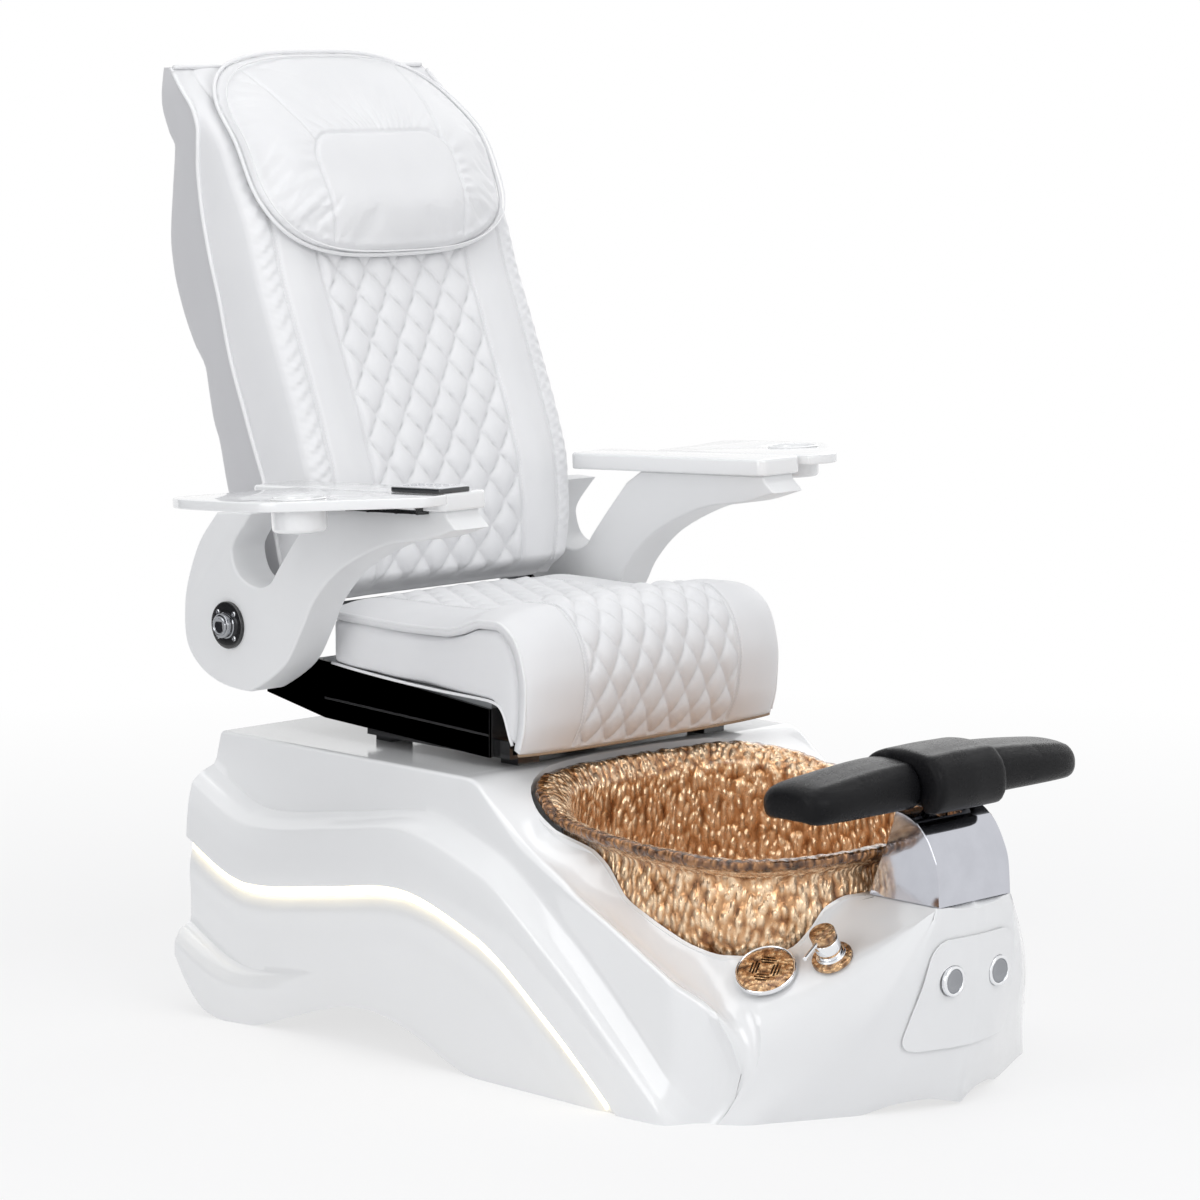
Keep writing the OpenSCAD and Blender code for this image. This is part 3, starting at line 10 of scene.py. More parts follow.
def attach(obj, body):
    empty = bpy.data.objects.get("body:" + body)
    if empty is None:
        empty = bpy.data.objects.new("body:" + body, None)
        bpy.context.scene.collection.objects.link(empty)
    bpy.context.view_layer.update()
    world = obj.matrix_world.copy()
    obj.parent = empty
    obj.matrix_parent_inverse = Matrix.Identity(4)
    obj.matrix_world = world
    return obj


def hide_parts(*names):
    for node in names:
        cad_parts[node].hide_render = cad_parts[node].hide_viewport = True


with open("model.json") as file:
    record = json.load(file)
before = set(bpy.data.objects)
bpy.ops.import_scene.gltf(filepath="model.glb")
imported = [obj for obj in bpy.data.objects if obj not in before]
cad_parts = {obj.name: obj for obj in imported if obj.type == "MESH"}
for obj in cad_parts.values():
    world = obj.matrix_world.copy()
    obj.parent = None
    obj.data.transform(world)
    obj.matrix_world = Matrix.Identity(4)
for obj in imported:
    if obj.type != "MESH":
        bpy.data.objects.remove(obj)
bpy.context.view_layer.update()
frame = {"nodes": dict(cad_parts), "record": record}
nodes = frame["nodes"]
scene = bpy.context.scene
scene.view_settings.view_transform = "Standard"
mm = 0.001

# camera
cameraSpec = {"place": (-4.4703, -4.5637, 1.5576), "heading": 44.335, "down": 8.014, "lens": 126, "sensor": 36,
              "reach": 60}


def linked(name, data):
    obj = bpy.data.objects.new(name, data)
    scene.collection.objects.link(obj)
    return obj


def aimed(look):
    return look.to_track_quat("-Z", "Y").to_euler()


def makeCamera(spec):
    data = bpy.data.cameras.new("viewCamera")
    data.lens = spec["lens"]
    data.sensor_width = spec["sensor"]
    data.clip_end = spec["reach"]
    cam = linked("viewCamera", data)
    heading, down = math.radians(spec["heading"]), math.radians(spec["down"])
    cam.location = spec["place"]
    cam.rotation_euler = aimed(Vector((math.sin(heading) * math.cos(down), math.cos(heading) * math.cos(down),
                                       -math.sin(down))))
    scene.camera = cam


makeCamera(cameraSpec)


# curves and grids
def hermite(a, b, startSlope, endSlope, t):
    t2, t3 = t * t, t * t * t
    return (2 * t3 - 3 * t2 + 1) * a + (t3 - 2 * t2 + t) * startSlope + (3 * t2 - 2 * t3) * b + (t3 - t2) * endSlope


def smoothCurve(knots, u):  # passes through the knots and never overshoots them
    k = np.array([[q[0], q[1]] for q in knots], float)
    x, y = k[:, 0], k[:, 1]
    u = np.clip(np.asarray(u, float), x[0], x[-1])
    d = np.diff(y) / np.diff(x)
    m = np.zeros(len(x))
    m[0], m[-1] = d[0], d[-1]
    prod = d[:-1] * d[1:]
    m[1:-1] = np.where(prod > 0, 2 * prod / np.where(prod > 0, d[:-1] + d[1:], 1), 0)
    i = np.clip(np.searchsorted(x, u, side="right") - 1, 0, len(x) - 2)
    h = x[i + 1] - x[i]
    return hermite(y[i], y[i + 1], h * m[i], h * m[i + 1], (u - x[i]) / h)


def curveColumn(knots, k, u):  # the curve through one column of the knots
    return smoothCurve([(q[0], q[k]) for q in knots], u)


def curveTrack(knots, u):  # all columns of knots (u, x, y, z)
    return np.stack([curveColumn(knots, k, u) for k in range(1, len(knots[0]))], -1)


def runLength(line):  # the length along a line up to each of its points
    return np.concatenate([[0], np.cumsum(np.linalg.norm(np.diff(line, axis=0), axis=1))])


def ease(t):
    c = np.clip(t, 0, 1)
    return c * c * (3 - 2 * c)


def mix(a, b, t):
    return a + (b - a) * t


def rawMesh(name, points, edges, faces):  # points in metres
    mesh = bpy.data.meshes.new(name)
    mesh.from_pydata(points, edges, faces)
    return linked(name, mesh)


def smoothShaded(mesh):
    mesh.polygons.foreach_set("use_smooth", [True] * len(mesh.polygons))


def linkMesh(name, points, faces, *materials):  # points in millimetres
    obj = rawMesh(name, [tuple(p) for p in np.asarray(points, float) * mm], [], faces)
    mesh = obj.data
    mesh.validate()
    smoothShaded(mesh)
    mesh.update()
    for material in materials:
        mesh.materials.append(material)
    return obj


def vectorsOf(items, key):
    values = np.zeros(len(items) * 3)
    items.foreach_get(key, values)
    return values.reshape(-1, 3)


def gridFaces(rows, cols, start=0, flip=False, around=False):
    faces = []
    last = cols if around else cols - 1
    for r in range(rows - 1):
        for c in range(last):
            a, b = start + r * cols + c, start + r * cols + (c + 1) % cols
            e, f = a + cols, b + cols
            faces.append((a, e, f, b) if flip else (a, b, f, e))
    return faces


weld = {"fine": 0.00001, "usual": 0.00002, "thin": 0.00005, "quilted": 0.0001, "padded": 0.0002}  # metres


def cleanUp(obj, merge, outward=True, sharp=None):  # welds the mesh, and marks edges sharper than an angle
    bm = bmesh.new()
    bm.from_mesh(obj.data)
    bmesh.ops.remove_doubles(bm, verts=bm.verts, dist=merge)
    bmesh.ops.dissolve_degenerate(bm, edges=bm.edges, dist=merge / 5)
    if outward:
        bmesh.ops.recalc_face_normals(bm, faces=bm.faces)
    if sharp:
        limit = math.radians(sharp)
        for e in bm.edges:
            if len(e.link_faces) == 2 and e.calc_face_angle(0) > limit:
                e.smooth = False
    bm.to_mesh(obj.data)
    bm.free()
    obj.data.update()
    return obj


def applyModifiers(obj):
    graph = bpy.context.evaluated_depsgraph_get()
    graph.update()
    mesh = bpy.data.meshes.new_from_object(obj.evaluated_get(graph), depsgraph=graph)
    obj.modifiers.clear()
    old = obj.data
    obj.data = mesh
    bpy.data.meshes.remove(old)
    return obj


def settle(obj, body, slot, *replaced, pad=None):
    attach(obj, body)
    if replaced:
        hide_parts(*replaced)
    return obj


def mirrored(obj, name):
    other = obj.copy()
    other.data = obj.data.copy()
    other.name = name
    other.data.transform(Matrix.Scale(-1, 4, (1, 0, 0)))
    other.data.flip_normals()
    scene.collection.objects.link(other)
    return other


def solid(name, shape, material, merge=weld["usual"], sharp=None):  # a welded piece from its (points, faces)
    return cleanUp(linkMesh(name, *shape, material), merge, True, sharp)


def walled(obj, thickness):
    wall = obj.modifiers.new("wall", "SOLIDIFY")
    wall.thickness = thickness * mm
    wall.offset = -1
    return applyModifiers(obj)


# materials
class Shader:
    def __init__(self, name, **values):
        self.mat = bpy.data.materials.new(name)
        self.mat.use_nodes = True
        self.tree = self.mat.node_tree
        self.bsdf = self.tree.nodes["Principled BSDF"]
        for key, value in values.items():
            self.bsdf.inputs[key.replace("_", " ")].default_value = value
        self.coords = self.add("ShaderNodeTexCoord").outputs["Object"]

    def add(self, kind, links=None, **props):
        node = self.tree.nodes.new(kind)
        for key, value in props.items():
            setattr(node, key, value)
        for key, value in (links or {}).items():
            socket = node.inputs[key]
            if isinstance(value, bpy.types.NodeSocket):
                self.tree.links.new(value, socket)
            else:
                socket.default_value = value
        return node

    def noise(self, scale, detail, rough=0.5, vector=None, stretch=None):
        vector = vector or self.coords
        if stretch:
            vector = self.add("ShaderNodeMapping", {"Vector": vector, "Scale": stretch}).outputs["Vector"]
        return self.add("ShaderNodeTexNoise", {"Vector": vector, "Scale": scale, "Detail": detail,
                                               "Roughness": rough}).outputs["Fac"]

    def pores(self, scale):
        return self.add("ShaderNodeTexVoronoi", {"Vector": self.coords, "Scale": scale},
                        feature="DISTANCE_TO_EDGE").outputs["Distance"]

    def spread(self, value, lowIn, highIn, lowOut, highOut):
        node = self.add("ShaderNodeMapRange", {"Value": value, "From Min": lowIn, "From Max": highIn,
                                               "To Min": lowOut, "To Max": highOut})
        return node.outputs["Result"]

    def ramp(self, value, *stops):
        node = self.add("ShaderNodeValToRGB", {"Fac": value})
        ramp = node.color_ramp
        while len(ramp.elements) < len(stops):
            ramp.elements.new(0.5)
        for element, (place, color) in zip(ramp.elements, stops):
            element.position = place
            element.color = (*color, 1)
        return node.outputs["Color"]

    def math(self, operation, a, b):
        node = self.add("ShaderNodeMath", operation=operation)
        for socket, value in zip(node.inputs, (a, b)):
            if isinstance(value, bpy.types.NodeSocket):
                self.tree.links.new(value, socket)
            else:
                socket.default_value = value
        return node.outputs[0]

    def bump(self, height, distance, strength, normal=None):
        links = {"Height": height, "Distance": distance, "Strength": strength}
        if normal:
            links["Normal"] = normal
        return self.add("ShaderNodeBump", links).outputs["Normal"]

    def set(self, **links):
        for key, value in links.items():
            self.tree.links.new(value, self.bsdf.inputs[key.replace("_", " ")])
        return self.mat


def mouldedGloss(name, color, rough=0.16, coat=0.5):
    s = Shader(name, Coat_Weight=coat, Coat_Roughness=0.06, IOR=1.5)
    tint = s.ramp(s.noise(3.0, 3), (0.35, tuple(c * 0.985 for c in color)), (0.65, color))
    grain = s.noise(240, 3)
    ripple = s.noise(9, 2)
    normal = s.bump(ripple, 0.0006, 0.35)
    return s.set(Base_Color=tint, Roughness=s.spread(grain, 0.3, 0.7, rough * 0.85, rough * 1.2), Normal=normal)


def satinPaint(name, color, rough=0.42):
    s = Shader(name, IOR=1.48)
    tint = s.ramp(s.noise(5.0, 3), (0.35, tuple(c * 0.98 for c in color)), (0.65, color))
    peel = s.noise(420, 4)
    return s.set(Base_Color=tint, Roughness=s.spread(peel, 0.3, 0.7, rough * 0.9, rough * 1.12),
                 Normal=s.bump(peel, 0.00012, 0.5))


def chromePlate(name, color=(0.86, 0.87, 0.89), rough=0.04):
    s = Shader(name, Metallic=1.0)
    haze = s.noise(26, 4)
    tint = s.ramp(haze, (0.3, tuple(c * 0.93 for c in color)), (0.7, color))
    return s.set(Base_Color=tint, Roughness=s.spread(haze, 0.3, 0.7, rough, rough + 0.05),
                 Normal=s.bump(s.noise(14, 2), 0.0005, 0.25))


def machinedSteel(name, color, rough):
    s = Shader(name, Metallic=1.0)
    streak = s.noise(60, 4, stretch=(1, 14, 14))
    tint = s.ramp(streak, (0.3, tuple(c * 0.85 for c in color)), (0.7, color))
    return s.set(Base_Color=tint, Roughness=s.spread(streak, 0.3, 0.7, rough * 0.8, rough * 1.2),
                 Normal=s.bump(streak, 0.0001, 0.4))


def softLeather(name, color, dark, rough, pore=900, depth=0.00012, gloss=0.5):
    s = Shader(name, IOR=1.47, Specular_IOR_Level=gloss)
    patches = s.noise(7, 4)
    tint = s.ramp(patches, (0.3, dark), (0.7, color))
    grain = s.spread(s.pores(pore), 0.0, 0.12, 0.0, 1.0)
    crease = s.noise(34, 5, 0.6)
    normal = s.bump(crease, 0.0011, 0.22)
    normal = s.bump(grain, depth, 0.5, normal)
    return s.set(Base_Color=tint, Roughness=s.spread(crease, 0.3, 0.7, rough * 0.88, rough * 1.14), Normal=normal)


whiteGloss = mouldedGloss("gelcoatWhite", (0.86, 0.865, 0.87))
whiteSatin = satinPaint("satinWhite", (0.84, 0.845, 0.85))
padGloss = mouldedGloss("lacquerWhite", (0.88, 0.885, 0.89), 0.1, 0.8)
chrome = chromePlate("chromePlate")
coverChrome = chromePlate("coverChrome", (0.58, 0.59, 0.64), 0.05)
darkChrome = chromePlate("darkChrome", (0.34, 0.35, 0.37), 0.06)
print("materials ready")

# moulded base: the side is drawn against u, the distance in front of the origin, and z, in millimetres
base = {"deckHalf": 345, "deckZ": 433, "rear": 510, "ribbonHalf": 419, "recess": 14, "creaseUp": 112,
        "creaseDown": 120, "topInset": 61, "wall": 5, "shoulderRound": 9, "columnStep": 9, "foldSoft": 3.0,
        "openAt": 45, "noseFrom": 500, "nose": 600, "frontColumns": 49, "lip": (3, 16)}
waveLine = [(-555, 292), (-365, 217), (-185, 239), (-35, 259), (135, 214), (285, 115), (435, -10), (585, -150)]
hemLine = [(-510, 90), (-480, 45), (-442, 10), (-400, 0), (-350, 1), (-273, 24), (-200, 48), (-144, 61), (-100, 64),
           (-64, 60), (3, 42), (70, 15), (120, 1), (140, 0), (592, 0)]
ribbonLine = [(-510, 0), (-200, -7), (100, -15), (300, -19), (435, -22), (560, -31), (600, -49)]
reliefLine = [(-510, 1), (0, 0.9), (250, 0.6), (435, 0.5), (600, 0.3)]
shoulderLine = [(45, 0, 0), (60, 1, 0), (80, 2, -4), (105, 4, -22), (140, 6, -50), (185, 10, -83),
                (225, 13, -102), (270, 16, -122), (310, 19, -140), (380, 22, -170), (450, 25, -203),
                (520, 28, -235), (600, 17, -278)]
noseLine = [(0, 328, -562), (45, 308, -582), (85, 308, -589), (118, 320, -580), (155, 334, -565)]
edgeLine = [(0, 302), (20.8, 302), (28.5, 290), (33.7, 259), (39.4, 233), (47, 223), (57.3, 223), (66, 233),
            (74, 250), (82, 268), (90, 287), (98, 330), (105, 350), (113, 375), (120, 388), (128, 405),
            (138, 420), (150, 430), (180, 431)]
turnLine = [(45, 180), (60, 160), (80, 145), (105, 132), (140, 122), (185, 113), (225, 106), (270, 98), (310, 90),
            (370, 81), (430, 74), (500, 67), (560, 61), (600, 57.3)]
frontTurn = [(0, 57.3), (0.18, 47), (0.36, 39.4), (0.46, 33.7), (0.55, 28.5), (0.65, 20.8), (0.8, 11.6),
             (0.9, 5.9), (1, 0)]
frontLines = [
    [(0, 328, -562, 0), (0.18, 300, -593, 0), (0.36, 264, -611, 0), (0.46, 226, -630, 0), (0.55, 196, -645, 0),
     (0.65, 154, -665, 0), (0.8, 100, -692, 12), (0.9, 56, -710, 15), (1, 0, -728, 4)],
    [(0, 293, -600, 72), (0.18, 248, -634, 74), (0.36, 194, -670, 88), (0.46, 170, -682, 88),
     (0.55, 148, -692, 88), (0.65, 118, -706, 88), (0.8, 74, -726, 90), (0.9, 38, -736, 90), (1, 0, -742, 90)],
    [(0, 287, -608, 119), (0.18, 235, -652, 130), (0.36, 150, -718, 176), (0.46, 135, -724, 182),
     (0.55, 115, -732, 188), (0.65, 90, -740, 190), (0.8, 55, -748, 190), (0.9, 28, -752, 190),
     (1, 0, -753, 190)],
    [(0, 284, -596, 157), (0.18, 243, -643, 173), (0.36, 84, -750, 298), (0.46, 79, -753, 302),
     (0.55, 78, -755, 302), (0.65, 54, -756, 302), (0.8, 32, -757, 302), (0.9, 16, -757, 302),
     (1, 0, -758, 302)],
    [(0, 264, -545, 190), (0.18, 232, -600, 203), (0.36, 145, -672, 250), (0.46, 80, -640, 302),
     (0.55, 78, -612, 302), (0.65, 54, -613, 302), (0.8, 32, -614, 302), (0.9, 16, -614, 302),
     (1, 0, -614, 302)]]
basin = {"rimHalf": 315, "rimRear": 293, "rimFront": 290, "bowlHalf": 284, "y": -340,
          "gap": 5, "flutes": 118, "fluteDeep": 2.2, "neckFlute": 0.45, "rimDeep": 27, "rimWide": 13,
         "dentSize": 0.022, "dentDeep": 0.0045, "around": 480}


def wave(u):
    return smoothCurve(waveLine, u)


def ribbon(u):
    return base["ribbonHalf"] + smoothCurve(ribbonLine, u)


def relief(u):
    return smoothCurve(reliefLine, u)


def shoulderHalf(u):
    return base["deckHalf"] + curveColumn(shoulderLine, 1, u)


def shoulderZ(u):
    return base["deckZ"] + curveColumn(shoulderLine, 2, u)


def noseShare(u):  # 0 along the side, 1 at the nose
    return float(ease((u - base["noseFrom"]) / (base["nose"] - base["noseFrom"])))


def sideShape(u):  # how far the side stands out from the ribbon, against the height above the light line
    f = 1 - ease((u + 510) / 330)
    low = base["creaseDown"] + 15 - 28 * ease((u + 400) / 700)
    up = base["creaseUp"] + 26 * ease((u + 100) / 500)
    deep = -base["recess"]
    heights = [-low - 150, -low - 25, -low - 1, -low, -85, -58, -32, -14, -1, 3, 30, 62, 90, min(104, up - 6), up]
    stands = [-8 + 36 * f, -8 + 34 * f, -8 + 20 * f, -8, -8, -6, -8, deep, deep, 0, -2, -6, -14, -34,
              -base["topInset"]]
    return heights, stands, low, up


def sideHalf(u, z):
    heights, stands, _, up = sideShape(u)
    s = z - wave(u)
    soft = base["foldSoft"] * (0.25 + 0.75 * ease((abs(s + 2) - 6) / 14))
    out = 0
    for step, weight in ((-1.6, 0.11), (-0.8, 0.23), (0, 0.32), (0.8, 0.23), (1.6, 0.11)):
        q = s + step * soft
        rib = ribbon(u) + relief(u) * np.interp(q, heights, stands)
        start, end = ribbon(u) - base["topInset"] * relief(u), shoulderHalf(u)
        share = np.clip((q - up) / max(1, shoulderZ(u) - wave(u) - up), 0, 1)
        out = out + weight * np.where(q > up, mix(start, end, share), rib)
    return out


def sideColumn(u):  # from just below the shoulder down to the foot
    _, _, low, up = sideShape(u)
    top, foot = float(shoulderZ(u)), float(smoothCurve(hemLine, u))
    knots = [top - wave(u), up, min(104, up - 6), 90, 62, 30, 5, 2, -1, -14, -32, -58, -85, -low + 3, -low - 3,
             -low - 25, -999]
    below = top - base["shoulderRound"] * 0.7
    zs = [max(foot, min(below, float(wave(u)) + k)) for k in knots]
    zs[0], zs[-1] = below, foot
    fine = []
    for a, b in zip(zs[:-1], zs[1:]):
        fine += [mix(a, b, t) for t in (0, 0.2, 0.5, 0.8)]
    z = np.array(fine + [zs[-1]])
    q = noseShare(u)
    half = mix(sideHalf(u, z), curveColumn(noseLine, 1, z), q)
    y = -u + q * (curveColumn(noseLine, 2, z) + base["nose"])
    return np.stack([-half, np.minimum(y, base["rear"]), z], -1)


def oval(a, front, rear, n, turn):
    b = np.where(turn < 90, front, rear)
    s, c = np.abs(np.sin(np.radians(turn))), np.abs(np.cos(np.radians(turn)))
    return 1 / ((s / a) ** n + (c / b) ** n) ** (1 / n)


def bowlRadius(turn, out):
    return oval(basin["bowlHalf"] + out, basin["rimFront"] - 32 + out, basin["rimRear"] - 23 + out, 2.6, turn)


def rimRadius(turn, out):
    return oval(basin["rimHalf"] + out, basin["rimFront"] + out, basin["rimRear"] + out, 3, turn)


def edgePoint(turn):  # the rim of the opening that the basin hangs in
    turn = np.asarray(turn, float)
    r = mix(bowlRadius(turn, basin["gap"]), rimRadius(turn, 6), ease((turn - 103) / 10))
    rad = np.radians(turn)
    return np.stack([-r * np.sin(rad), basin["y"] - r * np.cos(rad), smoothCurve(edgeLine, turn)], -1)


def deckColumn(u, start, below):  # the rounded shoulder and the deck in to the opening
    inner = np.array([0, -u, base["deckZ"]], float) if u < base["openAt"] else edgePoint(smoothCurve(turnLine, u))
    run = inner - start
    size = np.linalg.norm(run)
    far = start + run * min(0.3, base["shoulderRound"] / size)
    t = np.linspace(0, 1, 7)[:, None]
    rounded = (1 - t) ** 2 * below + 2 * t * (1 - t) * start + t * t * far
    w = np.linspace(0, 1, 20)[1:, None]
    rest = mix(far, inner, w)
    drop = (8 * ease((u - 105) / 95) + 12 * ease((u - 200) / 350)) * 4 * w[:, 0] * (1 - w[:, 0])
    rest[:, 2] -= drop
    return np.vstack([rounded, rest])


def roundedLine(points, soften, count):  # a line through the points with softened corners
    path = [points[0]]
    for i in range(1, len(points) - 1):
        a, b, c = points[i - 1], points[i], points[i + 1]
        p, q = b + (a - b) * soften[i - 1], b + (c - b) * soften[i - 1]
        for t in np.linspace(0, 1, 9):
            path.append((1 - t) ** 2 * p + 2 * t * (1 - t) * b + t * t * q)
    path.append(points[-1])
    path = np.array(path)
    run = runLength(path)
    at = np.linspace(0, run[-1], count)
    return np.stack([np.interp(at, run, path[:, k]) for k in range(3)], -1)


def frontColumn(v, count):
    points = []
    for line in frontLines:
        p = curveTrack(line, v)
        points.append(np.array([-p[0], p[1], p[2]]))
    points.append(edgePoint(smoothCurve(frontTurn, v)))
    crisp = float(ease((v - 0.1) / 0.3))
    soften = [0.42, 0.42, mix(0.42, 0.05, crisp), mix(0.42, 0.08, float(ease((v - 0.3) / 0.16)))]
    return roundedLine(points, soften, count)


def turnedDown(columns):  # the lip around the opening
    return [[p[-1]] + [p[-1] - (0, 0, drop) for drop in base["lip"]] for p in columns]


def makeBaseShell():
    steps = np.arange(-base["rear"], base["nose"], base["columnStep"])
    us = np.unique(np.concatenate([steps, [base["openAt"], 560, 580, base["nose"]]]))
    sides = [sideColumn(float(u)) for u in us]
    decks = []
    for u, side in zip(us, sides):
        u = float(u)
        q = noseShare(u)
        half = mix(shoulderHalf(u), noseLine[-1][1], q)
        y = min(-u + q * (noseLine[-1][2] + base["nose"]), base["rear"])
        decks.append(deckColumn(u, np.array([-half, y, shoulderZ(u)], float), side[0]))
    count = len(decks[0])
    noseEdge, topEdge = sides[-1], decks[-1]
    toe = frontColumn(0.0, count)
    drop = (noseEdge[0, 2] - noseEdge[:, 2]) / (noseEdge[0, 2] - noseEdge[-1, 2])
    share = np.linspace(0, 1, count)
    nose = []
    for i, t in enumerate(drop):
        bend = noseEdge[i] - mix(noseEdge[0], noseEdge[-1], t)
        nose.append(mix(topEdge, toe, t) + (1 - share[:, None]) ** 2 * bend)
    fronts = [frontColumn(float(v), count) for v in np.linspace(0, 1, base["frontColumns"])]
    rear = []
    for p in list(decks[0][6:0:-1]) + list(sides[0]):
        rear.append([(mix(p[0], 0, t), base["rear"], p[2]) for t in np.linspace(0, 1, 20)])
    lipDeck = turnedDown([p for u, p in zip(us, decks) if u >= base["openAt"]])
    points, faces = [], []
    grids = [(sides, False), (decks, True), (nose, True), (fronts, True), (rear, False), (lipDeck, True),
             (turnedDown(fronts), True)]
    for side in (1, -1):
        for grid, flip in grids:
            flat = np.array(grid, float)
            faces += gridFaces(flat.shape[0], flat.shape[1], len(points), flip != (side < 0))
            points += [(p[0] * side, p[1], p[2]) for p in flat.reshape(-1, 3)]
    return walled(solid("baseShell", (points, faces), whiteGloss, weld["padded"]), base["wall"])


baseShell = cleanUp(makeBaseShell(), weld["fine"], False, 40)
for corner in baseShell.data.vertices:
    corner.co.z = max(corner.co.z, 0)
settle(baseShell, "base", "white_gloss", "base_shell")
print("base shell", len(baseShell.data.polygons))

# basin
rimLine = [(80, 425), (140, 410), (200, 392), (300, 380), (450, 372), (560, 368), (640, 372)]
basinRings = [  # kind, outward offset or radius, height; the rim and its neck count from the rim line
    ("round", 30, 140), ("round", 64, 140), ("round", 100, 140.5), ("bowl", -114, 147), ("bowl", -78, 156),
    ("bowl", -49, 172), ("bowl", -30, 187), ("bowl", -16, 205), ("bowl", -6, 222), ("bowl", 0, 240), ("bowl", 3, 260),
    ("bowl", 4, 280), ("neck", 0, -56), ("neck", -1, -34), ("rim", -8, -18), ("rim", -1, -12), ("rim", 0.5, -6),
    ("rim", -1, -1.5), ("rim", -6, 0), ("rim", -13, 0), ("rim", -21, -2), ("neck", -4, -18), ("neck", -10, -34),
    ("bowl", -5, 276), ("bowl", -6, 256), ("bowl", -8, 240), ("bowl", -14, 222), ("bowl", -24, 207),
    ("bowl", -38, 190), ("bowl", -57, 178), ("bowl", -88, 163), ("bowl", -119, 155), ("round", 100, 150.5),
    ("round", 60, 150), ("round", 30, 150)]


def hammeredGlass(name, light, mid, dark, rough, metal, deep, stretch=(1, 1, 0.45)):
    s = Shader(name, Coat_Weight=0.7, Coat_Roughness=0.08, Coat_IOR=1.45, Metallic=metal)
    long = s.add("ShaderNodeMapping", {"Vector": s.coords, "Scale": stretch}).outputs["Vector"]
    warp = s.add("ShaderNodeVectorMath", {0: long, 1: s.add("ShaderNodeVectorMath", {
        0: s.add("ShaderNodeTexNoise", {"Vector": long, "Scale": 30, "Detail": 4}).outputs["Color"],
        1: (0.012, 0.012, 0.012)}, operation="MULTIPLY").outputs[0]}, operation="ADD").outputs[0]
    cells = s.add("ShaderNodeTexVoronoi", {"Vector": warp, "Scale": 120, "Smoothness": 0.7}, feature="SMOOTH_F1")
    dents = cells.outputs["Distance"]
    fine = s.noise(260, 4, 0.6, warp)
    broad = s.noise(20, 4, 0.55, warp)
    # the tone follows the dents: lighter on the dent tops and darker in the creases between them. This is partly the
    # glass's own gold-brown colour and partly painted highlight on the tops and painted shade in the creases; the
    # broad noise adds random tone
    tint = s.ramp(s.math("ADD", s.math("MULTIPLY", dents, 0.7), s.math("MULTIPLY", broad, 0.3)),
                  (0.38, light), (0.56, mid), (0.74, dark))
    normal = s.bump(s.math("SUBTRACT", 1.0, dents), deep, 0.9)
    normal = s.bump(broad, deep * 1.5, 0.5, normal)
    return s.set(Base_Color=tint, Roughness=s.spread(fine, 0.3, 0.7, rough * 0.7, rough * 1.4), Normal=normal)


goldGlass = hammeredGlass("goldLeafGlass", (0.98, 0.72, 0.47), (0.64, 0.35, 0.16), (0.24, 0.085, 0.02), 0.22, 0.6,
                          0.010, (1, 1, 0.5))
rimGlass = hammeredGlass("rimGlass", (0.42, 0.20, 0.075), (0.17, 0.07, 0.025), (0.03, 0.012, 0.005), 0.14, 0.4, 0.01)


